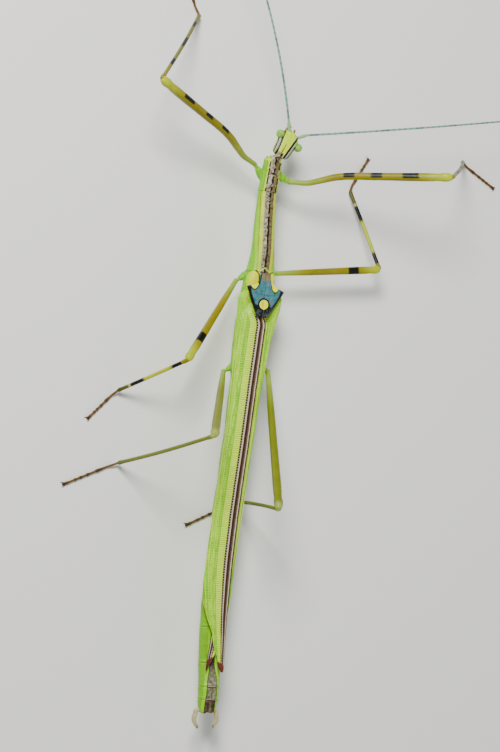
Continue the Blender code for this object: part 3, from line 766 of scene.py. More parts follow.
def add_plate(surface):
    """The plate under the abdomen's end, as a boat-shaped keel that leaves the belly."""
    low, high = box("subgenital_plate")
    count, sides = 36, 24
    rings, lies = [], []
    for i in range(count + 1):
        u = i / count
        y = high.y - 0.1 + (low.y - high.y + 0.2) * u
        centre, heading, (_, _, below) = trunk_at(y)
        across, rise = section("subgenital_plate", centre, heading)
        rounding = round_off(u, 0.8, 0.2, 0.02)
        half_width = (across.max() - across.min()) / 2 * (0.45 + 0.55 * smooth_step(0, 0.3, u)) * rounding
        top = -below + 0.25
        bottom = top + (rise.min() - top) * (0.3 + 0.7 * smooth_step(0, 0.55, u)) * (0.4 + 0.6 * rounding)
        middle, half = (top + bottom) / 2, (top - bottom) / 2
        ring, row = [], []
        for k in range(sides):
            angle = 2 * math.pi * k / sides
            keel = 0.05 * bell(math.degrees(angle) - 180, 0, 22)
            lateral = half_width * math.sin(angle)
            height = middle + (half + keel) * math.cos(angle)
            ring.append(centre + beside(heading) * lateral + UP * height)
            row.append((lateral, y, -0.9))
        rings.append(ring)
        lies.append(row)
    surface.loft(rings, lies, ABDOMEN_FINISH)


def add_cerci(surface, sides):
    """The two hooked feelers of the tail."""
    for side in SIDES:
        rows = limb_rows(f"cercus_{side}", trunk_at(TRUNK_BACK + 1)[0], 0.02, 0.98, 9)
        root = Vector(rows[0][1:4])
        inward = (trunk_at(TRUNK_BACK + 0.9)[0] - root) * 0.55
        line = [(-0.2, *(root + inward), rows[0][4])] + rows
        thick = max(row[4] for row in rows)

        def radius_at(share, thick=thick):
            swell = 0.8 + 0.25 * bell(share, 0.35, 0.3)
            return thick * swell * math.sqrt(max(1.03 - max(share, 0) ** 5, 0.02))

        def unevenness(share, angle, facing):
            return 0.05 * noise.noise(facing * 2 + Vector((share * 9, 0, 0)))

        tube(surface, [row[:4] for row in line], radius_at, sides, CERCUS_FINISH, unevenness, step=0.08)


def add_hip(surface, leg, sides):
    """Hip and trochanter: a tapering cone out of the body, a ring joint, and a short collar."""
    rows = [(0.0, *leg.hip), (0.5, *leg.hip.lerp(leg.base, 0.5)), (1.0, *leg.base)]
    inner = limb_rows(leg.name + "_coxa", leg.hip, 0.35, 0.97, 5)
    wide, narrow = max(row[4] for row in inner), inner[-1][4]

    def radius_at(share):
        body = narrow + (wide - narrow) * smooth_step(1.0, 0.25, share) if share > 0.25 else wide
        ring = -0.08 * bell(share, 0.74, 0.03) + 0.05 * bell(share, 0.66, 0.05)
        ring += 0.03 * bell(share, 0.85, 0.06)
        return body + ring

    tube(surface, rows, radius_at, sides, HIP_FINISH,
         lambda share, angle, facing: 0.05 * math.cos(3 * angle) * bell(share, 0.4, 0.3), step=0.07)


def add_long_joints(surface, leg, sides):
    """Femur with its keels and knee lobes, and tibia with its flared ankle."""
    widest = max(row[4] for row in leg.femur)
    into_hip = leg.base - (leg.knee - leg.base).normalized() * 0.18
    line = [(0.0, *into_hip)] + [row[:4] for row in leg.femur if row[0] > 0.02] + [(1.01, *leg.knee)]

    def femur_radius(share):
        plain = curve_through([(row[0], row[4]) for row in leg.femur], share)[0]
        lobe = 1 + 0.12 * bell(share, 0.97, 0.025) - 0.07 * bell(share, 0.925, 0.02)
        return plain * lobe * round_off(share, 0.975, 0.045, 0.03)

    def femur_keels(share, angle, facing):
        fullness = smooth_step(0.0, 0.2, share)
        keels = 0.05 * fullness * math.cos(4 * angle + math.pi)
        notch = -0.25 * bell(share, 1.0, 0.03) * smooth_step(-0.2, -0.8, facing.z)
        return keels + notch + 0.02 * noise.noise(facing + Vector((share * 30, widest, 0)))

    tube(surface, line, femur_radius, sides, LIMB_FINISHES[leg.pair, "femur"], femur_keels)

    thin = sum(row[4] for row in leg.tibia) / len(leg.tibia)
    line = [row[:4] for row in leg.tibia]
    line = [(0.0, *leg.knee)] + line[1:-1] + [(1.0, *leg.ankle)]

    def tibia_radius(share):
        knee = 0.22 * bell(share, 0.03, 0.025)
        ankle = 0.14 * smooth_step(0.93, 0.99, share)
        return thin * (0.86 + knee + ankle) * round_off(share, 0.99, 0.011, 0.05)

    def tibia_keels(share, angle, facing):
        unevenness = noise.noise(facing + Vector((share * 40, 0, 0)))
        return 0.05 * math.cos(4 * angle + math.pi) + 0.015 * unevenness

    tube(surface, line, tibia_radius, sides, LIMB_FINISHES[leg.pair, "tibia"], tibia_keels)


# The five joints of a foot, as shares of its length, with the claws past the last.
FOOT_JOINTS = (0.0, 0.4, 0.56, 0.68, 0.78, 0.95)
FOOT_RADIUS, TOE_PAD_RADIUS = 0.165, 0.16


def foot_height(share):
    """The middle line's height over the floor along a foot, in millimetres."""
    return 0.25 + 0.5 * (1 - smooth_step(0.0, 0.2, share))


def foot_point(leg, share):
    """A point of a foot's middle line."""
    return Vector((*leg.ankle.xy, 0)) + leg.foot * (leg.foot_length * share) + UP * foot_height(share)


def add_foot(surface, leg, sides):
    """Five telescoping joints, each flared over the next, with pale pads under them."""
    for number, (first, last) in enumerate(zip(FOOT_JOINTS, FOOT_JOINTS[1:])):
        overlap = 0.0 if number == 0 else 0.012
        shares = [first - overlap + (last - first + overlap) * i / 6 for i in range(7)]
        line = [(i / 6, *foot_point(leg, share)) for i, share in enumerate(shares)]
        final = number == len(FOOT_JOINTS) - 2

        def radius_at(share, final=final):
            flare = 0.06 * smooth_step(0.5, 0.95, share) if not final else 0.05 * bell(share, 0.8, 0.2)
            return (FOOT_RADIUS + flare) * round_off(share, 0.93, 0.075, 0.05)

        def pads(share, angle, facing, final=final):
            return 0.35 * smooth_step(-0.3, -0.9, facing.z) * bell(share, 0.85, 0.25) if not final else 0.0

        tube(surface, line, radius_at, sides, FOOT_FINISH, pads, step=0.09, on_floor=True,
             lie_at=lambda u, facing, number=number: (facing.y, number + u, facing.z))
    toe = foot_point(leg, 0.965)
    pad = [(i / 4, *(toe + leg.foot * (0.1 * i - 0.15) - UP * 0.1)) for i in range(5)]

    def pad_radius(share):
        return TOE_PAD_RADIUS * math.sqrt(max(1.02 - (2 * share - 1) ** 4, 0.03))

    tube(surface, pad, pad_radius, sides, FOOT_FINISH, step=0.06, on_floor=True,
         lie_at=lambda u, facing: (0, 5.9, facing.z))


# ---------------------------------------------------------------- wings and covers


def cover_rows(name, count):
    """Rows (y, outer angle, inner angle, height at each) of a wing or cover, in degrees and mm."""
    side = SIDES[name.split("_")[1]]
    low, high = box(name)
    rows = []
    for i in range(count):
        y = low.y + 0.25 + (high.y - low.y - 0.5) * i / (count - 1)
        centre, heading, (half_width, above, _) = trunk_at(y)
        across, rise = section(name, centre, heading)
        if len(across) < 4:
            continue
        least, most = np.full(len(across), -0.5), np.full(len(across), 4.0)
        for _ in range(30):
            offset = (least + most) / 2
            size = np.abs(across / (half_width + offset)) ** ROUNDNESS
            size += np.abs(rise / (above + offset)) ** ROUNDNESS
            least, most = np.where(size > 1, offset, least), np.where(size > 1, most, offset)
        power = ROUNDNESS / 2
        sine = np.sign(across) * np.abs(across / (half_width + offset)) ** power
        cosine = np.sign(rise) * np.abs(rise / (above + offset)) ** power
        angle = np.degrees(np.arctan2(sine, cosine)) * side
        outer = angle > angle.max() - 14
        inner = angle < angle.min() + 14
        rows.append((y, angle.max(), angle.min(), offset[outer].max(), offset[inner].max()))
    return rows


WING_ROWS = {side: cover_rows(f"wing_{side}", 40) for side in SIDES}
COVER_ROWS = {side: cover_rows(f"tegmen_{side}", 52) for side in SIDES}
COVER_FRONT, COVER_BACK = COVER_ROWS["left"][-1][0] + 0.22, COVER_ROWS["left"][0][0] - 0.22


def over_back(y, angle, offset):
    """A point over the back, at an angle from the top in degrees and this far off the trunk."""
    centre, heading, (half_width, above, _) = trunk_at(y)
    across, rise = rounded(math.radians(angle), half_width + offset, above + offset, above + offset)
    return centre + beside(heading) * across + UP * rise


def wing_limits(side):
    """The y of a wing's base and tip."""
    rows = WING_ROWS[side]
    return rows[-1][0] + 0.2, rows[0][0] - 0.2


# A wing rises from the skin over this length of its base, in millimetres.
ROOT_LENGTH = 1.1
# The left wing's flank margin draws in towards its tip: millimetres from the tip, and the angle it keeps to
# in degrees.
LEFT_MARGIN = (
    (-0.5, -5.0), (1.8, -4.0), (3.7, 6.0), (5.6, 14.0), (7.2, 30.0), (10.0, 50.0), (15.0, 66.0),
    (60.0, 70.0),
)
# The right wing's inner margin keeps to this angle, and crosses the back further towards its tip.
RIGHT_MARGIN = ((-0.5, -32.0), (0.3, -30.0), (5.6, -13.0), (60.0, -12.0))
# A wing's flank side slants in over this last stretch of its tip, by this share of the wing's width.
TIP_LENGTH, TIP_SLANT = 1.3, 0.6
# Its inner side is cut in over a shorter stretch, by a smaller share.
TIP_CUT_LENGTH, TIP_CUT = 0.5, 0.18


@lru_cache(maxsize=None)
def wing_row(side, y):
    """A wing's outer and inner angle at y, and its height at each."""
    return curve_through(WING_ROWS[side], y)


def lifted(side, y, angle):
    """How far the left wing has risen over the right one at this angle of its own, from 0 to 1."""
    if side == "right":
        return 0.0
    edge_below = wing_row("right", y)[1]
    return smooth_step(edge_below - 34, edge_below - 12, -angle)


@lru_cache(maxsize=None)
def wing_heights(side, y):
    """A wing's plain height at y, how much further its flank stands off, and how high it is lifted."""
    plain = wing_row("right", y)[3]
    outer, _, at_flank, at_inner = wing_row(side, y)
    lift = at_inner - plain
    return plain, max(at_flank - plain - lift * lifted(side, y, outer), 0.0), lift


def wing_sheet(side, y, share, lift=0.0):
    """A point of a wing's outer face; share runs from its flank margin, 0, to its inner margin, 1."""
    outer, inner, _, _ = wing_row(side, y)
    base, tip = wing_limits(side)
    if side == "left":
        outer = min(outer, curve_through(LEFT_MARGIN, y - tip)[0])
    else:
        inner = max(inner, curve_through(RIGHT_MARGIN, y - tip)[0])
    u = (base - y) / (base - tip)
    slant = 1 - TIP_SLANT * smooth_step(tip + TIP_LENGTH, tip, y) ** 2
    cut_in = TIP_CUT * smooth_step(tip + TIP_CUT_LENGTH, tip, y) ** 2
    angle = inner + (outer - inner) * (cut_in + (1 - share) * (slant - cut_in))
    plain, stand, rise = wing_heights(side, y)
    height = plain + stand * smooth_step(15, 50, abs(angle)) + rise * lifted(side, y, angle)
    fold = 0.24 * (1 - smooth_step(0.0, 0.13, share)) * smooth_step(0, 0.06, u)
    pleat = 0.03 * math.cos(2 * math.pi * share * 4.5) * smooth_step(0.98, 0.8, share)
    edge = -0.05 * smooth_step(0.94, 1.0, share)
    tip_droop = -0.16 * smooth_step(0.95, 1.0, u)
    height += pleat + edge + tip_droop - fold
    rooted = smooth_step(-0.25, ROOT_LENGTH, base - y)
    return over_back(y, SIDES[side] * angle, 0.1 + (height - 0.1) * rooted + lift * (0.3 + 0.7 * rooted))


@lru_cache(maxsize=None)
def wing_widths(side, y, steps=24):
    """Distance from the inner margin, in millimetres, at even shares from flank to inner margin."""
    points = [wing_sheet(side, y, j / steps) for j in range(steps + 1)]
    widths = [0.0]
    for j in range(steps, 0, -1):
        widths.append(widths[-1] + (points[j] - points[j - 1]).length)
    return widths[::-1]


def share_at(side, y, distance):
    """The share of a wing's width that lies this far from its inner margin."""
    widths = wing_widths(side, round(y / 0.2) * 0.2)
    steps = len(widths) - 1
    for j in range(steps, 0, -1):
        if widths[j - 1] >= distance:
            part = (distance - widths[j]) / (widths[j - 1] - widths[j])
            return (j - part) / steps
    return 0.0


def wing_surface(side, thickness):
    """One hind wing's folded sheet, closed all round, with its place on the wing at each point."""
    base, tip = wing_limits(side)
    surface = Surface()
    along, steps = 260, 40
    rings, lies = [], []
    for i in range(along + 1):
        u = i / along
        y = base + (tip - base) * u
        widths = wing_widths(side, y, steps)
        thin = thickness * (0.35 + 0.65 * blunt(u, 12))
        shares = [j / steps for j in range(steps + 1)]
        top = [wing_sheet(side, y, share) for share in shares]
        rim = [thin * (0.3 + 0.7 * blunt(share, 10)) for share in shares]
        under = [wing_sheet(side, y, share, -depth) for share, depth in zip(shares, rim)]
        row = [(widths[j], base - y, shares[j]) for j in range(steps + 1)]
        rings.append(top + under[::-1])
        lies.append(row + row[::-1])
    surface.loft(rings, lies)
    return surface


# Long veins: distance from the inner margin at the wing's middle, in millimetres. The first few are dark.
LONG_VEINS = (0.06, 0.46, 0.93, 1.44, 2.42, 3.2, 3.75, 4.3)
DARK_VEINS = 4
# Cross veins join these neighbours like the rungs of ladders.
RUNG_ZONES = tuple(zip(LONG_VEINS[3:], LONG_VEINS[4:]))

# The bands of the inner margin draw together to half their width between these distances from the base.
NARROW_FROM_TO = (36.0, 53.0)


def narrowing(down):
    """How far the bands of the inner margin have drawn together, this far down the wing."""
    return 1 - 0.5 * smooth_step(*NARROW_FROM_TO, down)


def wing_lines(side, spacing):
    """The wing's long veins, and its cross veins like the rungs of ladders, as lists of points."""
    base, tip = wing_limits(side)
    veins, rungs = [], []
    for distance in LONG_VEINS:
        line = []
        for i in range(131):
            y = base - 0.3 + (tip + 0.5 - base + 0.3) * i / 130
            share = share_at(side, y, distance * narrowing(base - y))
            if share > 0.03:
                line.append(wing_sheet(side, y, share, -0.012))
        veins.append(line)
    count = round((base - tip - 3.0) / spacing)
    for near, far in RUNG_ZONES:
        for i in range(count):
            jitter = noise.noise(Vector((i * 0.7, near * 3, 0)))
            y = base - 2.2 - i * spacing + 0.08 * jitter
            drawn = narrowing(base - y)
            first, last = share_at(side, y, near * drawn), share_at(side, y - 0.05, far * drawn)
            if first - last > 0.04 and last > 0.03:
                rungs.append([
                    wing_sheet(side, y - 0.05 * k / 3, first + (last - first) * k / 3, -0.006)
                    for k in range(4)
                ])
    return veins, rungs


# How far from the middle line each cover's inner margin lies, in degrees.
COVER_SEAM = 0.15
# The least angle of its front arm, in degrees.
FRONT_ARM = 12.3


def cover_surface(side, thickness):
    """One wing cover: a leathery plate, domed, drawn out to a point at its shoulder and behind.

    The pattern's place is the distance across the back, the distance from the front and the distance
    from the outer margin, all in millimetres.
    """
    rows = COVER_ROWS[side]
    surface = Surface()
    along, steps = 110, 34
    rings, lies = [], []
    for i in range(along + 1):
        u = i / along
        y = COVER_FRONT + (COVER_BACK - COVER_FRONT) * u
        outer, _, at_edge, at_middle = curve_through(rows, y)
        outer = max(outer, FRONT_ARM * smooth_step(1.6, 1.2, COVER_FRONT - y))
        thin = thickness * blunt(u, 8, 0.06)
        centre, heading, _ = trunk_at(y)
        top, under = [], []
        for j in range(steps + 1):
            share = j / steps
            angle = COVER_SEAM + (outer - COVER_SEAM) * share
            rim = math.sqrt(max(1 - share ** 7, 0.1))
            dome = 0.06 * math.sin(math.pi * share) - 0.08 * smooth_step(0.85, 1.0, share)
            ribs = 0.02 * math.cos(24 * share + 4 * u) * smooth_step(1.0, 0.8, share)
            ribs += 0.022 * noise.noise(Vector((share * 9, u * 14, 3)))
            seam = -0.015 * bell(share, 0, 0.06)
            offset = at_middle + (at_edge - at_middle) * share - 0.02 + dome + ribs + seam
            top.append(over_back(y, SIDES[side] * angle, offset))
            under.append(over_back(y, SIDES[side] * angle, offset - thin * rim))
        row = [
            ((point - centre).dot(beside(heading)), COVER_FRONT - y, (point - top[-1]).length)
            for point in top
        ]
        rings.append(top + under[::-1])
        lies.append(row + row[::-1])
    surface.loft(rings, lies)
    return surface


# ---------------------------------------------------------------- eyes, mouth, feelers and claws


def scape_rows(side):
    """The thick first joint of a feeler."""
    return limb_rows(f"antenna_{side}_scape", HEAD.place(HEAD.length * 0.7), 0.04, 0.96, 7)


FEELER_BASES = {side: Vector(scape_rows(side)[0][1:4]) for side in SIDES}


def whip_line(side):
    """Points along a feeler's whip, from its first joint to its tip."""
    scape = scape_rows(side)
    near = limb_rows(f"antenna_{side}_near", Vector(scape[-1][1:4]), 0.01, 0.99, 14)
    far = limb_rows(f"antenna_{side}_far", Vector(near[-1][1:4]), 0.01, 0.99, 14)
    points = [Vector(row[1:4]) for row in near + far]
    return [row_end(near, "start"), *points, row_end(far, "end")]


# Least radii of a feeler's first and second joint.
SCAPE_RADIUS, PEDICEL_RADIUS = 0.235, 0.15


def scape_surface(surface, side, sides):
    """The feeler's pale, bulbous first joint and the short second one, which the whip leaves."""
    rows = scape_rows(side)
    whip = whip_line(side)
    head_end = Vector(rows[0][1:4]) + (Vector(rows[0][1:4]) - Vector(rows[-1][1:4])).normalized() * 0.55
    line = [(-0.3, *head_end)] + [row[:4] for row in rows]
    tube(surface, line, lambda share: SCAPE_RADIUS + 0.045 * bell(share, 0.5, 0.42), sides, 0,
         lambda share, angle, facing: 0.06 * math.cos(2 * angle), step=0.05)
    start = Vector(rows[-1][1:4])
    toward = (whip[2] - start).normalized()
    pedicel = [(i / 4, *(start + toward * (0.42 * i / 4 - 0.08))) for i in range(5)]
    tube(surface, pedicel, lambda share: PEDICEL_RADIUS + 0.035 * bell(share, 0.6, 0.3), sides, 0,
         step=0.05)


def line_mesh(name, lines):
    """A mesh of bare edges along lists of points."""
    points, edges = [], []
    for line in lines:
        start = len(points)
        points += [tuple(point * MM) for point in line]
        edges += [(start + i, start + i + 1) for i in range(len(line) - 1)]
    mesh = bpy.data.meshes.new(name)
    mesh.from_pydata(points, edges, [])
    return mesh


def claw(surface, leg, side, reach):
    """One of a foot's two hooked claws, its tip on the floor."""
    across = Vector((leg.foot.y, -leg.foot.x, 0)) * side
    root = foot_point(leg, 0.95)
    line = []
    for i in range(7):
        u = i / 6
        out = across * (0.07 + 0.30 * math.sin(u * 1.5)) + leg.foot * (reach * 0.85 * u - 0.12)
        height = 0.03 + 0.2 * math.cos(u * 1.6)
        line.append((u, *(Vector((root.x, root.y, 0)) + out + UP * height)))
    tube(surface, line, lambda share: 0.085 * (1 - 0.82 * share), 10, 0, step=0.05, on_floor=True)


def lump(surface, centre, size, power=2.4, side=1, shape=None):
    """A rounded lump of the head: its half length, half width and half height about a centre."""
    right = HEAD.right * side
    rows, sides = 14, 20
    rings, lies = [], []
    for i in range(rows + 1):
        u = -1 + 2 * i / rows
        swell = max(1 - abs(u) ** power, 0.0) ** (1 / power)
        swell = max(swell, 0.06)
        ring, row = [], []
        for k in range(sides):
            angle = 2 * math.pi * k / sides
            across, rise = size[1] * swell * math.sin(angle), size[2] * swell * math.cos(angle)
            point = centre + HEAD.ahead * (size[0] * u) + right * across + UP * rise
            if shape:
                point += shape(u, across, rise)
            ring.append(point)
            row.append((across, u, math.cos(angle)))
        rings.append(ring)
        lies.append(row)
    surface.loft(rings, lies)


def mouth_surface():
    """Upper lip and face, the two jaws, the lower lip, and the jointed palps beside and below them."""
    surface = Surface()
    low, high = box("mouthparts")
    centre = (low + high) / 2
    t, _, rise = HEAD.locate(centre)
    ahead, right = HEAD.ahead, HEAD.right
    lump(surface, HEAD.place(t + 0.16, 0, rise + 0.2), (0.42, 0.5, 0.26), 3.0,
         shape=lambda u, across, up: UP * (-0.16 * max(u, 0) ** 2 - 0.12 * (across / 0.5) ** 2))
    lump(surface, HEAD.place(t - 0.28, 0, rise + 0.4), (0.55, 0.52, 0.5), 2.6)
    for side in SIDES.values():
        lump(surface, HEAD.place(t - 0.08, side * 0.42, rise - 0.05), (0.5, 0.2, 0.34), side=side,
             shape=lambda u, across, up, side=side: right * (-side * 0.16 * max(u, 0) ** 2))
    lump(surface, HEAD.place(t - 0.2, 0, rise - 0.3), (0.45, 0.34, 0.18))
    for label, side in SIDES.items():
        rows = limb_rows(f"palp_{label}", HEAD.place(3.5, side, -1.3), 0.05, 0.95, 6)
        root = HEAD.place(t - 0.35, side * 0.5, rise - 0.1)
        tucked = right * (side * 0.3) - UP * 0.1
        line = [(-0.35, *root)] + [(row[0], *(Vector(row[1:4]) - tucked)) for row in rows]

        def joints(share):
            beads = abs(math.sin(math.pi * (share + 0.35) / 1.3 * 4)) ** 0.5
            return 0.11 + 0.06 * beads * (1 - 0.25 * max(share, 0))

        tube(surface, line, joints, 14, 1, step=0.04)
        under = HEAD.place(t - 0.3, side * 0.22, rise - 0.42)
        low_palp = []
        for i in range(5):
            u = i / 4
            point = under + ahead * (1.15 * i / 4) + right * (side * 0.22 * math.sin(u * 2.6))
            low_palp.append((u, *(point - UP * (0.05 * math.sin(u * 3)))))

        def low_joints(share):
            return 0.08 + 0.05 * abs(math.sin(math.pi * share * 3)) ** 0.5

        tube(surface, low_palp, low_joints, 12, 1, step=0.04)
    return surface


def bead(centre, radius, level):
    """An even ball mesh, in metres."""
    mesh = bpy.data.meshes.new("ball")
    work = bmesh.new()
    bmesh.ops.create_icosphere(work, subdivisions=level, radius=radius * MM)
    bmesh.ops.translate(work, verts=work.verts, vec=centre * MM)
    work.to_mesh(mesh)
    work.free()
    return mesh


# ---------------------------------------------------------------- wiring


class Wiring:
    """A node tree being wired, with short ways to add the nodes it needs."""

    def __init__(self, tree):
        self.tree = tree

    def node(self, kind, feeds=None, **options):
        """Add a node, set its options, then feed its inputs by name or number."""
        made = self.tree.nodes.new(kind)
        for key, value in options.items():
            setattr(made, key, value)
        for key, value in (feeds or {}).items():
            self.feed(made.inputs[key], value)
        return made

    def feed(self, socket, value):
        """Link an output to a socket, or set the socket's value."""
        if isinstance(value, bpy.types.NodeSocket):
            self.tree.links.new(value, socket)
        elif socket.type == "RGBA" and len(value) == 3:
            socket.default_value = (*value, 1.0)
        else:
            socket.default_value = value

    def math(self, operation, *values):
        """The result of a Math node."""
        return self.node("ShaderNodeMath", dict(enumerate(values)), operation=operation).outputs[0]

    def times(self, first, second):
        """Two values multiplied."""
        return self.math("MULTIPLY", first, second)

    def mix(self, factor, first, second, share=None, blend="MIX"):
        """Two colours mixed; share weakens the factor."""
        if share is not None:
            factor = self.times(factor, share)
        feeds = {0: factor, 6: first, 7: second}
        return self.node("ShaderNodeMix", feeds, data_type="RGBA", blend_type=blend).outputs[2]

    def ramp(self, value, low, high):
        """0 at low and 1 at high, with an S curve between."""
        feeds = {"Value": value, "From Min": low, "From Max": high}
        return self.node("ShaderNodeMapRange", feeds, interpolation_type="SMOOTHSTEP").outputs["Result"]

    def scaled(self, value, middle, half):
        """How far a value lies from the middle, counted in halves."""
        return self.math("DIVIDE", self.math("SUBTRACT", value, middle), half)

    def radius(self, x, y):
        """How far a point lies from the middle."""
        return self.math("SQRT", self.math("ADD", self.times(x, x), self.times(y, y)))

    def noise(self, vector, size, detail=3.0):
        """Noise whose lumps have this size in metres."""
        feeds = {"Vector": vector, "Scale": 1 / size, "Detail": detail}
        return self.node("ShaderNodeTexNoise", feeds).outputs["Fac"]

    def stripes(self, value, low, stops, soft):
        """A colour for each stretch of a value: stops pairs where a stretch ends with its colour."""
        high = stops[-1][0]
        where = self.node("ShaderNodeMapRange", {"Value": value, "From Min": low, "From Max": high})
        ramp = self.node("ShaderNodeValToRGB", {"Fac": where.outputs["Result"]})
        marks = [(0.0, stops[0][1])]
        for (end, colour), (_, following) in zip(stops, stops[1:]):
            share = (end - low) / (high - low)
            edge = soft / (high - low)
            marks += [(share - edge, colour), (share + edge, following)]
        elements = ramp.color_ramp.elements
        while len(elements) < len(marks):
            elements.new(0.5)
        for element, (share, colour) in zip(elements, sorted(marks, key=lambda mark: mark[0])):
            element.position = min(max(share, 0.0), 1.0)
            element.color = (*colour, 1.0)
        return ramp.outputs["Color"]


def node_group(name, kind, inputs, outputs):
    """A new node group with named sockets, and the wiring, inputs and output node to build it with."""
    tree = bpy.data.node_groups.new(name, kind)
    for label, socket, default in inputs:
        made = tree.interface.new_socket(name=label, in_out="INPUT", socket_type=socket)
        if default is not None:
            made.default_value = default
    for label, socket in outputs:
        tree.interface.new_socket(name=label, in_out="OUTPUT", socket_type=socket)
    entry = tree.nodes.new("NodeGroupInput")
    leave = tree.nodes.new("NodeGroupOutput")
    return Wiring(tree), entry.outputs, leave.inputs


FLOAT, VECTOR, COLOUR = "NodeSocketFloat", "NodeSocketVector", "NodeSocketColor"
GEOMETRY, INTEGER, MATERIAL = "NodeSocketGeometry", "NodeSocketInt", "NodeSocketMaterial"


def band_group():
    """Shader group: 1 where a value lies between two limits, with soft edges."""
    inputs = [("Value", FLOAT, 0.0), ("From", FLOAT, 0.0), ("To", FLOAT, 1.0), ("Soft", FLOAT, 0.01)]
    wiring, inp, out = node_group("Band", "ShaderNodeTree", inputs, [("Mask", FLOAT)])
    rise = wiring.ramp(inp["Value"], wiring.math("SUBTRACT", inp["From"], inp["Soft"]),
                       wiring.math("ADD", inp["From"], inp["Soft"]))
    fall = wiring.ramp(inp["Value"], wiring.math("SUBTRACT", inp["To"], inp["Soft"]),
                       wiring.math("ADD", inp["To"], inp["Soft"]))
    wiring.feed(out["Mask"], wiring.times(rise, wiring.math("SUBTRACT", 1.0, fall)))
    return wiring.tree


def grain_group():
    """Shader group: the fine leathery grain of cuticle, as a mottle, a height and a roughness."""
    inputs = [
        ("Vector", VECTOR, None), ("Grain", FLOAT, 0.00012), ("Rough", FLOAT, 0.4), ("Spread", FLOAT, 0.12)
    ]
    outputs = [("Mottle", FLOAT), ("Height", FLOAT), ("Roughness", FLOAT)]
    wiring, inp, out = node_group("Cuticle grain", "ShaderNodeTree", inputs, outputs)
    fine = wiring.math("DIVIDE", 1.0, inp["Grain"])
    feeds = {"Vector": inp["Vector"], "Scale": fine}
    cells = wiring.node("ShaderNodeTexVoronoi", feeds).outputs["Distance"]
    lumps, broad = (
        wiring.node("ShaderNodeTexNoise", {
            "Vector": inp["Vector"], "Scale": wiring.times(fine, share), "Detail": detail
        }).outputs["Fac"]
        for share, detail in ((0.35, 4.0), (0.08, 3.0))
    )
    height = wiring.math("ADD", wiring.times(cells, -0.5), lumps)
    wiring.feed(out["Mottle"], wiring.math("ADD", wiring.times(lumps, 0.4),
                                           wiring.times(broad, 0.6)))
    wiring.feed(out["Height"], height)
    swing = wiring.times(wiring.math("SUBTRACT", lumps, 0.5), inp["Spread"])
    wiring.feed(out["Roughness"], wiring.math("ADD", inp["Rough"], swing))
    return wiring.tree


def speckle_group():
    """Shader group: scattered small specks of uneven size."""
    inputs = [("Vector", VECTOR, None), ("Spacing", FLOAT, 0.0004), ("Size", FLOAT, 0.2)]
    wiring, inp, out = node_group("Specks", "ShaderNodeTree", inputs, [("Mask", FLOAT)])
    scale = wiring.math("DIVIDE", 1.0, inp["Spacing"])
    spot = wiring.node("ShaderNodeTexVoronoi", {"Vector": inp["Vector"], "Scale": scale})
    chance = wiring.node("ShaderNodeSeparateColor", {"Color": spot.outputs["Color"]}).outputs["Red"]
    reach = wiring.times(inp["Size"], wiring.ramp(chance, 0.45, 1.0))
    edge = wiring.math("SUBTRACT", reach, spot.outputs["Distance"])
    wiring.feed(out["Mask"], wiring.ramp(edge, 0.0, 0.06))
    return wiring.tree


# Cuticle reflects less than glass would.
SPECULAR = 0.22
# What the darker mottles multiply a colour by.
DEEPENING = (0.35, 0.4, 0.3)


class Finish(Wiring):
    """A material being wired round its own Principled shader."""

    def __init__(self, name, rough=0.4, coat=0.0, grain=0.00012, bump=0.35):
        self.material = bpy.data.materials.new(name)
        self.material.use_nodes = True
        super().__init__(self.material.node_tree)
        self.shader = self.tree.nodes["Principled BSDF"]
        self.object = self.node("ShaderNodeTexCoord").outputs["Object"]
        self.position = self.node("ShaderNodeSeparateXYZ", {0: self.object}).outputs
        lie = self.node("ShaderNodeAttribute", attribute_name="lie").outputs["Vector"]
        self.across, self.along, self.up = self.node("ShaderNodeSeparateXYZ", {0: lie}).outputs
        texture = self.group("Cuticle grain", {"Vector": self.object, "Grain": grain, "Rough": rough})
        self.mottle = texture.outputs["Mottle"]
        bumps = self.node("ShaderNodeBump", {"Height": texture.outputs["Height"], "Strength": bump,
                                             "Distance": grain * 0.35})
        self.feed(self.shader.inputs["Normal"], bumps.outputs["Normal"])
        self.feed(self.shader.inputs["Roughness"], texture.outputs["Roughness"])
        self.shader.inputs["Specular IOR Level"].default_value = SPECULAR
        self.shader.inputs["Coat Weight"].default_value = coat
        self.shader.inputs["Coat Roughness"].default_value = 0.25

    def group(self, name, feeds):
        """Place one of the shared node groups."""
        made = self.node("ShaderNodeGroup", node_tree=bpy.data.node_groups[name])
        for key, value in feeds.items():
            self.feed(made.inputs[key], value)
        return made

    def band(self, value, low, high, soft=0.01):
        """The mask of a shared Band group."""
        return self.group("Band", {"Value": value, "From": low, "To": high, "Soft": soft}).outputs["Mask"]

    def specks(self, spacing, size):
        """The mask of a shared Specks group."""
        feeds = {"Vector": self.object, "Spacing": spacing, "Size": size}
        return self.group("Specks", feeds).outputs["Mask"]

    def streaks(self, size, stretch):
        """Noise drawn out along the piece, its width in millimetres."""
        along = self.times(self.along, stretch)
        lie = self.node("ShaderNodeCombineXYZ", {0: self.across, 1: along, 2: self.up}).outputs["Vector"]
        return self.noise(lie, size)

    def clouds(self, size, low, high):
        """A mask of soft clouds of this size in metres: 0 where the noise is below low, 1 above high."""
        return self.ramp(self.noise(self.object, size), low, high)

    def wobble(self, value, size, amount):
        """A value moved to and fro by noise, so that a stripe's edge isn't ruled."""
        swing = self.math("SUBTRACT", self.noise(self.object, size), 0.5)
        return self.math("ADD", value, self.times(swing, amount))

    def done(self, colour, depth=0.35):
        """Mottle the colour and finish the material."""
        shade = self.ramp(self.mottle, 0.3, 0.7)
        dark = self.mix(depth, colour, DEEPENING, blend="MULTIPLY")
        self.feed(self.shader.inputs["Base Color"], self.mix(shade, dark, colour))
        return self.material


# ---------------------------------------------------------------- finishes


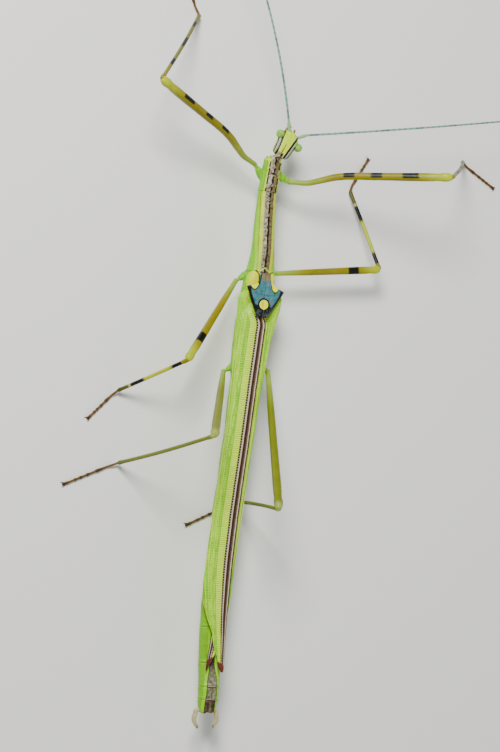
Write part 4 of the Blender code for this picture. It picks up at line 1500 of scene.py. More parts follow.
def head_finish(c):
    """Yellow-green plate between bold black stripes, a pale line behind each eye, green cheeks."""
    paint = Finish("head_cuticle", rough=0.36, coat=0.08)
    side = paint.math("ABSOLUTE", paint.across)
    plate = paint.math("MULTIPLY_ADD", paint.along, PLATE_SPREAD, PLATE_BACK)
    past = paint.math("SUBTRACT", paint.wobble(side, 0.0003, 0.06), plate)
    behind_eye = paint.stripes(past, -1, [
        (-0.16, c.head_plate), (0.0, c.head_rim), (0.29, c.black), (0.49, c.eye_line), (0.62, c.black),
        (1.2, c.head_side)
    ], 0.015)
    before_eye = paint.stripes(past, -1, [
        (-0.12, c.head_plate), (0.0, c.head_rim), (0.29, c.black), (1.2, c.head_side)
    ], 0.015)
    before = paint.ramp(paint.along, HEAD.length * 0.6, HEAD.length * 0.68)
    colour = paint.mix(before, behind_eye, before_eye)
    on_plate = paint.ramp(past, -0.02, -0.12)
    flecks = paint.times(paint.specks(0.00045, 0.45), on_plate)
    flecks = paint.times(flecks, paint.ramp(paint.along, 1.2, 2.4))
    colour = paint.mix(flecks, colour, c.leg, 0.7)
    middle = paint.band(paint.wobble(side, 0.0003, 0.03), -1, 0.06, 0.02)
    rear = paint.ramp(paint.along, 2.2, 1.7)
    colour = paint.mix(paint.times(middle, rear), colour, c.stripe_brown_and_shade)
    colour = paint.mix(paint.times(middle, paint.ramp(paint.along, 1.3, 0.9)), colour, c.black)
    nape = paint.times(paint.ramp(past, -0.02, -0.1), paint.ramp(paint.along, 0.62, 0.42))
    nape_colour = paint.mix(paint.band(paint.across, 0.02, 0.32, 0.06), c.stripe, c.black)
    nape_colour = paint.mix(paint.ramp(paint.across, 0.3, 0.42), nape_colour, c.stripe_pale)
    colour = paint.mix(nape, colour, nape_colour)
    knobs = paint.times(paint.band(side, 0.2, 0.6, 0.08),
                       paint.band(paint.along, HEAD.length - 0.62, HEAD.length - 0.25, 0.08))
    colour = paint.mix(knobs, colour, c.head_rim, 0.6)
    lower = paint.mix(paint.ramp(paint.up, -0.8, -0.3), c.pale_green, c.head_side)
    return paint.done(paint.mix(paint.ramp(paint.up, -0.2, 0.0), lower, colour), 0.25)


def back_stripe(paint, c):
    """The thorax's back stripe: pinkish left, darker brown right as painted shade, with a broken black
    middle line.
    """
    across = paint.wobble(paint.wobble(paint.across, 0.0009, 0.22), 0.0003, 0.12)
    # Painted shade: the right half takes the darker brown, as if the light fell from the left; the pale
    # clouds stay on the lit left half.
    half = paint.mix(paint.ramp(across, -0.06, 0.12), c.stripe, c.stripe_brown_and_shade)
    pale = paint.times(paint.clouds(0.0005, 0.5, 0.62), 0.75)
    half = paint.mix(paint.times(pale, paint.ramp(across, 0.3, -0.2)), half, c.stripe_pale)
    dark = paint.times(paint.clouds(0.00032, 0.5, 0.6), 0.75)
    half = paint.mix(dark, half, c.stripe_deep)
    solid_line = paint.ramp(paint.along, PRONOTUM_BACK - 3.0, PRONOTUM_BACK - 5.0)
    broken = paint.clouds(0.0004, 0.38, 0.46)
    broken = paint.math("MAXIMUM", broken, paint.times(solid_line, 0.9))
    line = paint.band(across, -0.14, 0.16, 0.03)
    return paint.mix(paint.times(line, broken), half, c.black)


# How far the pale chevron in front of the wing covers falls behind with each millimetre outwards.
CHEVRON_SLOPE = 0.75


def thorax_finish(c):
    """A back stripe with painted shade on its right half, pale yellow borders, bright shoulder patches and
    green flanks.
    """
    paint = Finish("thorax_cuticle", rough=0.42, coat=0.04)
    side = paint.math("ABSOLUTE", paint.wobble(paint.across, 0.00035, 0.12))
    edges = paint.stripes(side, 0, [
        (0.68, c.stripe), (1.12, c.yellow), (1.2, c.leg), (1.5, c.wing_light), (2.6, c.green)
    ], 0.04)
    before = paint.stripes(side, 0, [
        (0.82, c.stripe), (1.02, c.yellow), (1.1, c.wing_deep), (2.6, c.green)
    ], 0.04)
    in_front = paint.band(paint.along, PRONOTUM_BACK, TRUNK_FRONT + 1, 0.1)
    edges = paint.mix(in_front, edges, before)
    colour = paint.mix(paint.ramp(side, 0.62, 0.7), back_stripe(paint, c), edges)
    dashes = paint.clouds(0.0007, 0.4, 0.46)
    black_line = paint.times(paint.band(side, 0.68, 0.83, 0.025), in_front)
    black_line = paint.times(black_line, dashes)
    colour = paint.mix(black_line, colour, c.black)
    furrow = paint.times(paint.band(paint.along, PRONOTUM_FURROW - 0.1, PRONOTUM_FURROW + 0.14, 0.05),
                        paint.band(side, -1, 0.5, 0.06))
    furrow = paint.times(furrow, paint.clouds(0.0004, 0.42, 0.5))
    colour = paint.mix(furrow, colour, c.black)
    rim = paint.times(paint.band(paint.along, COLLAR_AT - 0.15, COLLAR_AT + 0.2, 0.05), 0.55)
    rim = paint.times(rim, paint.ramp(side, 0.45, 0.7))
    colour = paint.mix(rim, colour, c.wing_pale)
    arms = paint.math("ADD", paint.along, paint.times(side, CHEVRON_SLOPE))
    chevron = paint.band(arms, COVER_TOP + 0.65, COVER_TOP + 0.85, 0.06)
    near = paint.ramp(paint.along, COVER_TOP + 1.2, COVER_TOP + 0.9)
    near = paint.times(paint.ramp(side, 1.3, 1.1), near)
    chevron = paint.times(paint.times(chevron, near), 0.7)
    colour = paint.mix(chevron, colour, c.wing_pale)
    covered = paint.ramp(paint.along, COVER_TOP - 0.1, COVER_TOP - 0.5)
    colour = paint.mix(covered, colour, paint.mix(paint.ramp(side, 1.3, 1.5), c.teal, c.green))
    x = paint.scaled(side, PATCH_ACROSS, PATCH_HALF_WIDTH)
    y = paint.scaled(paint.along, PATCH_AT, PATCH_HALF_LENGTH)
    away = paint.wobble(paint.radius(x, y), *PATCH_WOBBLE)
    inner = paint.ramp(x, 0.1, -0.4)
    outline = paint.times(paint.ramp(away, 1.2, 1.12), inner)
    colour = paint.mix(outline, colour, c.black)
    bright = paint.mix(paint.ramp(x, -0.1, 1.2), c.patch, c.wing_light)
    colour = paint.mix(paint.ramp(away, 1.06, 0.96), colour, bright)
    lower = paint.mix(paint.ramp(paint.up, -0.85, -0.1), c.pale_green, c.green)
    # Lighter streaks along the flanks: partly their own yellow mottling, partly painted highlights of their
    # lengthwise ridges.
    streaks = paint.times(paint.ramp(paint.streaks(0.28, 0.16), 0.5, 0.62), 0.6)
    lower = paint.mix(streaks, lower, c.wing_light)
    deep = paint.times(paint.ramp(paint.streaks(0.2, 0.1), 0.46, 0.38), 0.35)
    lower = paint.mix(deep, lower, c.wing_deep)
    return paint.done(paint.mix(paint.ramp(paint.up, 0.12, 0.3), lower, colour), 0.3)


def abdomen_finish(c):
    """Green plates; the last ones carry a mottled grey-brown stripe with black edges, brown at the end."""
    paint = Finish("abdomen_cuticle", rough=0.42, coat=0.08)
    side = paint.math("ABSOLUTE", paint.wobble(paint.across, 0.0004, 0.12))
    pale = paint.clouds(0.0005, 0.46, 0.62)
    stripe = paint.mix(pale, c.tail_grey, c.tail_pale)
    stripe = paint.mix(paint.specks(0.00035, 0.45), stripe, c.stripe_deep, 0.7)
    front = paint.ramp(paint.along, BORDERS[-2] + 1.8, BORDERS[-2] + 3.2)
    stripe = paint.mix(front, stripe, c.tail_purple)
    last = paint.ramp(paint.along, BORDERS[-1] + 0.08, BORDERS[-1] - 0.08)
    brown = paint.mix(pale, c.stripe_deep, c.tail_brown)
    ridge = paint.times(paint.band(side, -1, 0.16, 0.06), paint.clouds(0.0003, 0.4, 0.55))
    brown = paint.mix(ridge, brown, c.stripe, 0.45)
    stripe = paint.mix(last, stripe, brown)
    middle = paint.times(paint.band(side, -1, 0.05, 0.025),
                        paint.band(paint.along, BORDERS[-1], BORDERS[-2], 0.1))
    stripe = paint.mix(middle, stripe, c.stripe_deep, 0.8)
    for border in BORDERS[-2:]:
        rim = paint.band(paint.along, border - 0.02, border + 0.1, 0.03)
        stripe = paint.mix(rim, stripe, c.pink)
        stripe = paint.mix(paint.band(paint.along, border - 0.16, border - 0.02, 0.03), stripe, c.bundle)
    narrow = paint.ramp(paint.along, BORDERS[-2] + 0.2, BORDERS[-2] + 3.4)
    side = paint.math("MULTIPLY_ADD", narrow, 0.42, side)
    edges = paint.stripes(side, 0, [
        (0.7, c.tail_grey), (0.8, c.black), (1.15, c.wing_light), (2.6, c.abdomen)
    ], 0.03)
    stripe = paint.mix(paint.ramp(side, 0.66, 0.72), stripe, edges)
    lower = paint.mix(paint.ramp(paint.up, -0.9, -0.2), c.pale_green, c.abdomen)
    return paint.done(paint.mix(paint.ramp(paint.up, 0.15, 0.35), lower, stripe), 0.3)


def limb_finish(name, base, mid, tip, c, bands=(), pale_bands=(), facing=None, rough=0.38):
    """A leg joint: its colour runs from base to tip, with black and pale rings at shares of its length, and
    painted shade on its underside.
    """
    paint = Finish(name, rough=rough, coat=0.05)
    along = paint.wobble(paint.along, 0.0006, 0.02)
    colour = paint.mix(paint.ramp(along, 0.0, 0.35), base, mid)
    colour = paint.mix(paint.ramp(along, 0.75, 1.0), colour, tip)
    # Painted shade: the underside is multiplied darker and yellower, as if turned away from the light.
    under = paint.mix(paint.ramp(paint.up, -0.6, 0.5), (0.75, 0.8, 0.6), (1.0, 1.0, 1.0))
    colour = paint.mix(1.0, colour, under, blend="MULTIPLY")
    for low, high, pale in pale_bands:
        colour = paint.mix(paint.band(along, low, high, 0.015), colour, pale)
    for low, high, strength in bands:
        mask = paint.times(paint.band(along, low, high, 0.008), strength)
        if facing:
            front = paint.ramp(paint.math("ADD", paint.across, paint.times(paint.up, facing)), 0.0, 0.25)
            mask = paint.times(mask, front)
        colour = paint.mix(mask, colour, c.black)
    speck = paint.times(paint.specks(0.0005, 0.22), 0.45)
    return paint.done(paint.mix(speck, colour, c.stripe_brown_and_shade), 0.3)


def skin_finishes(c):
    """The skin's finishes, in the order of its faces' numbers."""
    bright = c.leg_bright
    hips = limb_finish("hip", c.green, c.green, c.leg_pale, c)
    cercus = limb_finish("cercus", c.cercus, c.cercus, c.stripe_brown_and_shade, c)
    foot = foot_finish(c)
    fore_femur = limb_finish("fore_femur", c.leg_pale, c.leg, bright, c,
                             [(0.335, 0.405, 1.0), (0.505, 0.575, 1.0), (0.70, 0.80, 1.0)], facing=0.6)
    fore_tibia = limb_finish("fore_tibia", c.leg, c.tibia, c.tibia, c,
                             [(0.19, 0.27, 1.0), (0.46, 0.59, 1.0), (0.78, 0.86, 1.0)])
    mid_femur = limb_finish("mid_femur", c.leg_pale, c.leg, bright, c, [(0.69, 0.79, 1.0)])
    mid_tibia = limb_finish("mid_tibia", c.leg, c.leg, c.tibia, c,
                            [(0.07, 0.20, 1.0), (0.62, 0.80, 1.0), (0.84, 1.0, 0.5)],
                            [(0.22, 0.60, bright), (0.805, 0.835, c.cercus)])
    hind_femur = limb_finish("hind_femur", c.leg_pale, c.hind_leg, c.hind_leg, c,
                             pale_bands=[(0.965, 1.1, c.hind_knee)])
    hind_tibia = limb_finish("hind_tibia", c.hind_leg, c.hind_leg, c.tibia, c,
                             pale_bands=[(-0.1, 0.025, c.hind_knee)])
    return [head_finish(c), thorax_finish(c), abdomen_finish(c), hips, cercus, foot,
            fore_femur, fore_tibia, mid_femur, mid_tibia, hind_femur, hind_tibia]


def foot_finish(c):
    """Reddish brown joints, darker at each joint's end, with paler pads."""
    paint = Finish("foot", rough=0.45, coat=0.05)
    joint = paint.math("FRACT", paint.along)
    colour = paint.mix(paint.ramp(joint, 0.55, 0.95), c.tarsus, tuple(0.4 * p for p in c.tarsus))
    colour = paint.mix(paint.ramp(paint.up, -0.4, -0.9), colour, c.cercus, 0.5)
    return paint.done(colour, 0.4)


# Distances between the beads of the wing's edge line and between its painted rungs, in millimetres.
BEAD_SPACING, PAINTED_RUNG_SPACING = 0.36, 0.27


def wing_finish(c):
    """Lime green sheet, pale beside a bundle of brown and pink bands along its inner margin."""
    paint = Finish("wing", rough=0.4, coat=0.03, grain=0.00016)
    drawn = paint.math("MULTIPLY_ADD", paint.ramp(paint.along, *NARROW_FROM_TO), -0.5, 1.0)
    across = paint.math("DIVIDE", paint.wobble(paint.across, 0.0005, 0.05), drawn)
    beads = paint.math("SINE", paint.times(paint.along, 2 * math.pi / BEAD_SPACING))
    slow = paint.noise(paint.object, 0.0005)
    dashes = paint.ramp(paint.math("MULTIPLY_ADD", slow, 5.0, beads), 3.3, 3.6)
    dashed = paint.mix(dashes, c.black, c.pink_grey)
    beaded = paint.mix(paint.ramp(beads, 0.3, 0.8), c.bundle_edge, c.pink, 0.6)
    bands = paint.stripes(across, 0, [
        (0.22, c.black), (0.44, c.pink), (0.6, c.pink_grey), (0.92, c.bundle), (1.18, c.pink),
        (1.46, c.bundle_edge), (2.38, c.wing_pale), (2.52, c.wing_deep), (3.15, c.wing),
        (3.28, c.wing_deep), (3.6, c.wing_light), (4.2, c.wing), (4.35, c.wing_light), (6.5, c.abdomen)
    ], 0.03)
    colour = paint.mix(paint.band(across, -1, 0.22, 0.03), bands, dashed)
    colour = paint.mix(paint.band(across, 1.18, 1.46, 0.03), colour, beaded)
    mottled = paint.times(paint.specks(0.0003, 0.4), paint.band(across, 0.4, 0.95, 0.04))
    colour = paint.mix(mottled, colour, c.black, 0.8)
    wavy = paint.wobble(paint.along, 0.0008, 0.25)
    rungs = paint.math("SINE", paint.times(wavy, 2 * math.pi / PAINTED_RUNG_SPACING))
    ladder = paint.times(paint.band(across, 1.5, 2.34, 0.08), paint.ramp(rungs, -0.2, -0.8))
    colour = paint.mix(ladder, colour, c.wing_deep, 0.75)
    green = paint.ramp(across, 2.5, 2.65)
    steps = paint.times(paint.ramp(rungs, -0.3, -0.9), green)
    colour = paint.mix(steps, colour, c.wing_deep, 0.3)
    streaks = paint.times(paint.ramp(paint.streaks(0.22, 0.08), 0.5, 0.6), green)
    colour = paint.mix(streaks, colour, c.wing_pale, 0.55)
    blotch = paint.clouds(0.0009, 0.42, 0.62)
    colour = paint.mix(paint.times(blotch, green), colour, c.wing_light, 0.4)
    cells = paint.times(paint.clouds(0.0004, 0.5, 0.62), green)
    colour = paint.mix(cells, colour, c.wing_deep, 0.35)
    shoulder = paint.times(paint.ramp(paint.along, 6.0, 1.0), paint.ramp(across, 1.3, 1.6))
    colour = paint.mix(shoulder, colour, c.wing_light, 0.7)
    root = paint.ramp(paint.along, 3.4, 3.0)
    colour = paint.mix(paint.times(root, paint.ramp(across, 1.55, 1.35)), colour, c.wing_light)
    sliver = paint.times(paint.ramp(paint.along, 0.9, 0.5), paint.ramp(paint.up, 0.3, 0.6))
    colour = paint.mix(sliver, colour, c.patch)
    specks = paint.times(paint.specks(0.0016, 0.07), paint.ramp(across, 1.5, 1.7))
    colour = paint.mix(specks, colour, c.black, 0.8)
    rim = paint.times(paint.band(paint.up, -0.1, 0.03, 0.015), 0.6)
    colour = paint.mix(rim, colour, c.wing_pale)
    base, tip = wing_limits("left")
    slanted = paint.math("MULTIPLY_ADD", paint.across, 0.5, paint.wobble(paint.along, 0.0006, 0.2))
    ends = paint.ramp(slanted, base - tip - 1.1, base - tip - 0.75)
    return paint.done(paint.mix(ends, colour, c.wing_tip), 0.22)


def vein_finish(c, name, colour):
    """A vein of the wing, paler than the sheet and glossier."""
    paint = Finish(name, rough=0.32, coat=0.2, grain=0.00008)
    y = paint.math("DIVIDE", paint.position["Y"], MM)
    tip = paint.ramp(y, wing_limits("left")[1] + 1.9, wing_limits("left")[1] + 1.3)
    return paint.done(paint.mix(tip, colour, c.wing_tip), 0.2)


def cover_finish(c):
    """The blue shield: black points and edges, a ringed yellow spot, black behind and brown in front."""
    paint = Finish("wing_cover", rough=0.4, coat=0.05, grain=0.0001)
    side = paint.math("ABSOLUTE", paint.across)
    down, edge = paint.along, paint.wobble(paint.up, 0.0003, 0.06)
    span = COVER_FRONT - COVER_BACK
    point_at, spot_at, black_from = 0.35 * span, 0.714 * span, 0.74 * span
    cloud = paint.clouds(0.0006, 0.42, 0.58)
    teal = paint.mix(cloud, c.blue, c.teal)
    grey = paint.times(paint.clouds(0.0004, 0.46, 0.58), 0.8)
    teal = paint.mix(grey, teal, c.cover_grey)
    teal = paint.mix(paint.specks(0.0003, 0.4), teal, tuple(0.4 * p for p in c.blue), 0.75)
    colour = paint.mix(paint.ramp(down, 1.5, 0.7), teal, c.stripe_brown_and_shade, 0.9)
    width = paint.math("MULTIPLY_ADD", paint.ramp(down, point_at - 0.9, point_at - 0.5), 0.26, 0.16)
    rim = paint.math("SUBTRACT", width, edge)
    colour = paint.mix(paint.ramp(rim, -0.05, 0.04), colour, c.black)
    tips = paint.band(down, point_at - 1.0, point_at + 1.2, 0.1)
    tips = paint.times(paint.ramp(paint.wobble(side, 0.0004, 0.3), 2.05, 2.3), tips)
    colour = paint.mix(tips, colour, c.black)
    behind = paint.ramp(paint.wobble(down, 0.0003, 0.2), black_from - 0.15, black_from + 0.1)
    streaks = paint.times(paint.clouds(0.00035, 0.54, 0.64), 0.35)
    colour = paint.mix(behind, colour, paint.mix(streaks, c.black, c.cover_grey))
    spot = paint.wobble(paint.radius(side, paint.math("SUBTRACT", down, spot_at)), 0.0004, 0.08)
    colour = paint.mix(paint.ramp(spot, 0.96, 0.86), colour, c.black)
    yellow = paint.mix(paint.ramp(spot, 0.3, 0.55), c.spot, c.patch)
    colour = paint.mix(paint.ramp(spot, 0.69, 0.63), colour, yellow)
    leaning = paint.times(paint.math("SIGN", paint.across), PATCH_END_LEAN)
    x = paint.scaled(paint.math("ADD", side, leaning), PATCH_END_ACROSS, PATCH_END_HALF_WIDTH)
    y = paint.scaled(down, COVER_FRONT - PATCH_AT, PATCH_HALF_LENGTH)
    away = paint.wobble(paint.radius(x, y), *PATCH_WOBBLE)
    colour = paint.mix(paint.ramp(away, 1.2, 1.12), colour, c.black)
    colour = paint.mix(paint.ramp(away, 1.06, 0.98), colour, c.patch)
    return paint.done(colour, 0.15)


def eye_finish(c):
    """Pale green facets with darker flecks."""
    paint = Finish("eye", rough=0.25, coat=0.25, grain=0.00008, bump=0.1)
    fleck = paint.clouds(0.00028, 0.48, 0.62)
    colour = paint.mix(fleck, c.eye, tuple(0.5 * p for p in c.eye), 0.75)
    paint.shader.inputs["Coat Roughness"].default_value = 0.08
    return paint.done(colour, 0.2)


def plain_finish(name, colour, second, rough=0.4, coat=0.1, size=0.0004, share=0.5):
    """One colour clouded with a second."""
    paint = Finish(name, rough=rough, coat=coat)
    cloud = paint.clouds(size, 0.4, 0.65)
    return paint.done(paint.mix(paint.times(cloud, share), colour, second), 0.3)


def feeler_finish(c):
    """Teal-grey whip with a darker ring at each joint, darkening outwards."""
    paint = Finish("feeler", rough=0.4, coat=0.1, grain=0.00008)
    share = paint.node("ShaderNodeAttribute", attribute_name="share").outputs["Fac"]
    joints = settings().sizes.feeler_joints
    ring = paint.math("FRACT", paint.times(share, float(joints)))
    dark = tuple(0.35 * p for p in c.feeler)
    colour = paint.mix(paint.ramp(share, 0.2, 1.0), c.feeler, tuple(0.6 * p for p in c.feeler))
    colour = paint.mix(paint.band(ring, 0.84, 1.1, 0.05), colour, dark, 0.8)
    broad = paint.math("SINE", paint.times(share, 2 * math.pi * joints / 6))
    colour = paint.mix(paint.ramp(broad, 0.55, 0.9), colour, dark, 0.6)
    return paint.done(colour, 0.2)


def floor_finish(c):
    """Plain pale floor."""
    material = bpy.data.materials.new("floor")
    material.use_nodes = True
    shader = material.node_tree.nodes["Principled BSDF"]
    shader.inputs["Base Color"].default_value = (*c.floor, 1.0)
    shader.inputs["Roughness"].default_value = 0.85
    return material


# ---------------------------------------------------------------- growing what repeats


def whip_tree():
    """Geometry group: a jointed whip along a path, each joint flared over the next."""
    inputs = [("Geometry", GEOMETRY, None), ("Joints", INTEGER, 50), ("Base Radius", FLOAT, 0.15 * MM),
              ("Tip Radius", FLOAT, 0.08 * MM), ("Flare", FLOAT, 0.16), ("Sides", INTEGER, 12),
              ("Material", MATERIAL, None)]
    w, inp, out = node_group("Jointed whip", "GeometryNodeTree", inputs, [("Geometry", GEOMETRY)])
    path = w.node("GeometryNodeMeshToCurve", {"Mesh": inp["Geometry"]}).outputs["Curve"]
    count = w.math("ADD", w.times(inp["Joints"], 6.0), 1.0)
    even = w.node("GeometryNodeResampleCurve", {"Curve": path, "Count": count}).outputs["Curve"]
    share = w.node("GeometryNodeSplineParameter").outputs["Factor"]
    noted = w.node("GeometryNodeStoreNamedAttribute", {"Geometry": even, "Name": "share", "Value": share},
                   data_type="FLOAT", domain="POINT").outputs["Geometry"]
    joint = w.math("FRACT", w.times(share, inp["Joints"]))
    flare = w.math("MULTIPLY_ADD", w.math("POWER", joint, 2.0), inp["Flare"], 1.0)
    radius = w.node("ShaderNodeMapRange", {"Value": share, "To Min": inp["Base Radius"],
                                           "To Max": inp["Tip Radius"]}).outputs["Result"]
    whip = swept(w, noted, w.times(radius, flare), inp["Sides"])
    finish_tree(w, whip, inp["Material"], out)
    return w.tree


def swept(w, path, radius, sides):
    """A round tube of this radius along a path, its ends filled."""
    size = w.node("GeometryNodeSetCurveRadius", {"Curve": path, "Radius": radius})
    ring = w.node("GeometryNodeCurvePrimitiveCircle", {"Resolution": sides, "Radius": 1.0})
    feeds = {"Curve": size.outputs["Curve"], "Profile Curve": ring.outputs["Curve"], "Fill Caps": True}
    made = w.node("GeometryNodeCurveToMesh", feeds)
    if "Scale" in made.inputs:
        w.feed(made.inputs["Scale"], w.node("GeometryNodeInputRadius").outputs["Radius"])
    return made.outputs["Mesh"]


def finish_tree(w, shape, material, out):
    """End a tree: smooth shading, real geometry, and its material."""
    smooth = w.node("GeometryNodeSetShadeSmooth", {"Geometry": shape}).outputs["Geometry"]
    real = w.node("GeometryNodeRealizeInstances", {"Geometry": smooth}).outputs["Geometry"]
    painted = w.node("GeometryNodeSetMaterial", {"Geometry": real, "Material": material})
    w.feed(out["Geometry"], painted.outputs["Geometry"])


def vein_tree():
    """Geometry group: round veins along the edges of a mesh."""
    inputs = [("Geometry", GEOMETRY, None), ("Radius", FLOAT, 0.04 * MM), ("Sides", INTEGER, 6),
              ("Material", MATERIAL, None)]
    w, inp, out = node_group("Veins", "GeometryNodeTree", inputs, [("Geometry", GEOMETRY)])
    path = w.node("GeometryNodeMeshToCurve", {"Mesh": inp["Geometry"]}).outputs["Curve"]
    share = w.node("GeometryNodeSplineParameter").outputs["Factor"]
    middle = w.math("ABSOLUTE", w.math("MULTIPLY_ADD", share, 2.0, -1.0))
    fine = w.math("SUBTRACT", 1.0, w.times(w.math("POWER", middle, 6.0), 0.6))
    finish_tree(w, swept(w, path, w.times(inp["Radius"], fine), inp["Sides"]), inp["Material"], out)
    return w.tree


def granule_tree():
    """Geometry group: small low beads scattered over a surface."""
    inputs = [("Geometry", GEOMETRY, None), ("Density", FLOAT, 1.0), ("Radius", FLOAT, 0.04 * MM),
              ("Seed", INTEGER, 7), ("Material", MATERIAL, None)]
    w, inp, out = node_group("Granules", "GeometryNodeTree", inputs, [("Geometry", GEOMETRY)])
    spread = w.node("GeometryNodeDistributePointsOnFaces", {
        "Mesh": inp["Geometry"], "Density": inp["Density"], "Seed": inp["Seed"]})
    ball = w.node("GeometryNodeMeshIcoSphere", {"Radius": inp["Radius"], "Subdivisions": 2}).outputs["Mesh"]
    size = w.node("FunctionNodeRandomValue", {"Seed": inp["Seed"]}, data_type="FLOAT")
    w.feed(next(s for s in size.inputs if s.name == "Min" and s.type == "VALUE"), 0.45)
    w.feed(next(s for s in size.inputs if s.name == "Max" and s.type == "VALUE"), 1.0)
    scale = next(s for s in size.outputs if s.type == "VALUE" and s.enabled)
    grown = w.node("GeometryNodeInstanceOnPoints", {
        "Points": spread.outputs["Points"], "Instance": ball, "Rotation": spread.outputs["Rotation"],
        "Scale": scale}).outputs["Instances"]
    finish_tree(w, grown, inp["Material"], out)
    return w.tree


def facet_tree():
    """Geometry group: a ball covered with raised six-sided lenses."""
    inputs = [("Geometry", GEOMETRY, None), ("Rise", FLOAT, 0.012 * MM), ("Lens", FLOAT, 0.72),
              ("Material", MATERIAL, None)]
    w, inp, out = node_group("Facets", "GeometryNodeTree", inputs, [("Geometry", GEOMETRY)])
    cells = w.node("GeometryNodeDualMesh", {"Mesh": inp["Geometry"]}).outputs["Dual Mesh"]
    feeds = {"Mesh": cells, "Offset Scale": inp["Rise"], "Individual": True}
    raised = w.node("GeometryNodeExtrudeMesh", feeds, mode="FACES")
    lens = w.node("GeometryNodeScaleElements", {
        "Geometry": raised.outputs["Mesh"], "Selection": raised.outputs["Top"], "Scale": inp["Lens"]})
    finish_tree(w, lens.outputs["Geometry"], inp["Material"], out)
    return w.tree


def grow(name, mesh, tree, **values):
    """Run a geometry group on a mesh and keep the result as a plain mesh object."""
    piece = place(bpy.data.objects.new(name, mesh))
    modifier = piece.modifiers.new(tree.name, "NODES")
    modifier.node_group = tree
    for item in tree.interface.items_tree:
        if item.item_type == "SOCKET" and item.in_out == "INPUT" and item.name in values:
            modifier[item.identifier] = values[item.name]
    missing = set(values) - {item.name for item in tree.interface.items_tree}
    if missing:
        raise ValueError(f"{tree.name} has no input {missing}")
    graph = bpy.context.evaluated_depsgraph_get()
    result = bpy.data.meshes.new_from_object(piece.evaluated_get(graph))
    piece.modifiers.remove(modifier)
    piece.data = result
    if not result.polygons:
        raise ValueError(f"{name} came out empty")
    return piece


def group_named(name, build):
    """A shared node group, built the first time it is asked for."""
    return bpy.data.node_groups.get(name) or build()


def joined(name, pieces):
    """Several plain mesh objects as one, keeping each one's materials."""
    mesh = bpy.data.meshes.new(name)
    work = bmesh.new()
    for piece in pieces:
        offset = len(mesh.materials)
        for material in piece.data.materials:
            mesh.materials.append(material)
        before = len(work.faces)
        work.from_mesh(piece.data)
        work.faces.ensure_lookup_table()
        for face in work.faces[before:]:
            face.material_index += offset
        bpy.data.objects.remove(piece, do_unlink=True)
    work.to_mesh(mesh)
    work.free()
    return place(bpy.data.objects.new(name, mesh))


# ---------------------------------------------------------------- operators


class AddSkin(Operator):
    """One sculpted skin over head, neck, trunk, abdomen, tail and all six legs"""

    bl_idname = "insect.add_skin"
    bl_label = "Skin"

    def execute(self, context):
        chosen = settings()
        surface = Surface()
        legs = [Leg(name) for name in LEGS]
        add_body(surface, legs, chosen.sizes.body_sides, chosen.sizes.body_step)
        add_plate(surface)
        add_cerci(surface, chosen.sizes.limb_sides)
        for leg in legs:
            add_hip(surface, leg, chosen.sizes.limb_sides)
            add_long_joints(surface, leg, chosen.sizes.limb_sides)
            add_foot(surface, leg, chosen.sizes.limb_sides)
        skin = surface.finish_as("skin", skin_finishes(chosen.colours))
        nodes = ["head", *TRUNK, "subgenital_plate", "cercus_left", "cercus_right"]
        nodes += [f"{leg}_{part}" for leg in LEGS for part in LEG_PARTS]
        hand_over(skin, nodes)
        return {"FINISHED"}


class AddWings(Operator):
    """Two folded hind wings with raised long veins and ladders of cross veins, the left over the right"""

    bl_idname = "insect.add_wings"
    bl_label = "Wings"

    def execute(self, context):
        chosen = settings()
        sheet = wing_finish(chosen.colours)
        vein = vein_finish(chosen.colours, "wing_vein", chosen.colours.wing_pale)
        brown = vein_finish(chosen.colours, "wing_vein_brown", chosen.colours.bundle)
        tree = group_named("Veins", vein_tree)
        for side in SIDES:
            blade = wing_surface(side, chosen.sizes.wing_thickness).finish_as(f"blade_{side}", [sheet])
            hand_over(blade, [f"wing_{side}"])
            long_veins, rungs = wing_lines(side, chosen.sizes.rung_spacing)
            thick, fine = chosen.sizes.vein_radius * MM, chosen.sizes.rung_radius * MM
            dark = grow("dark", line_mesh("dark", long_veins[:DARK_VEINS]), tree, Radius=thick, Sides=6,
                        Material=brown)
            pale = grow("pale", line_mesh("pale", long_veins[DARK_VEINS:]), tree, Radius=thick, Sides=6,
                        Material=vein)
            ladder = grow("ladder", line_mesh("ladder", rungs), tree, Radius=fine, Sides=5, Material=vein)
            hand_over(joined(f"veins_{side}", [dark, pale, ladder]), [])
        return {"FINISHED"}


class AddCovers(Operator):
    """Two short leathery wing covers that carry the blue shield"""

    bl_idname = "insect.add_covers"
    bl_label = "Wing covers"

    def execute(self, context):
        chosen = settings()
        finish = cover_finish(chosen.colours)
        for side in SIDES:
            cover = cover_surface(side, chosen.sizes.cover_thickness).finish_as(f"cover_{side}", [finish])
            hand_over(cover, [f"tegmen_{side}"])
        return {"FINISHED"}


class AddEyes(Operator):
    """Two round faceted eyes"""

    bl_idname = "insect.add_eyes"
    bl_label = "Eyes"

    def execute(self, context):
        finish = eye_finish(settings().colours)
        for side in SIDES:
            low, high = box(f"eye_{side}")
            ball = bead((low + high) / 2, (high - low).x / 2 - 0.012, 5)
            eye = grow(f"eyeball_{side}", ball, group_named("Facets", facet_tree), Material=finish)
            hand_over(eye, [f"eye_{side}"])
        return {"FINISHED"}


class AddMouthparts(Operator):
    """Upper lip, jaws and jointed palps"""

    bl_idname = "insect.add_mouthparts"
    bl_label = "Mouthparts"

    def execute(self, context):
        c = settings().colours
        lips = plain_finish("lips", c.head_side, c.mouth, share=0.8, size=0.0005)
        palps = plain_finish("palps", c.mouth, c.head_side, share=0.5)
        mouth = mouth_surface().finish_as("mouth", [lips, palps])
        hand_over(mouth, ["mouthparts", "palp_left", "palp_right"])
        return {"FINISHED"}


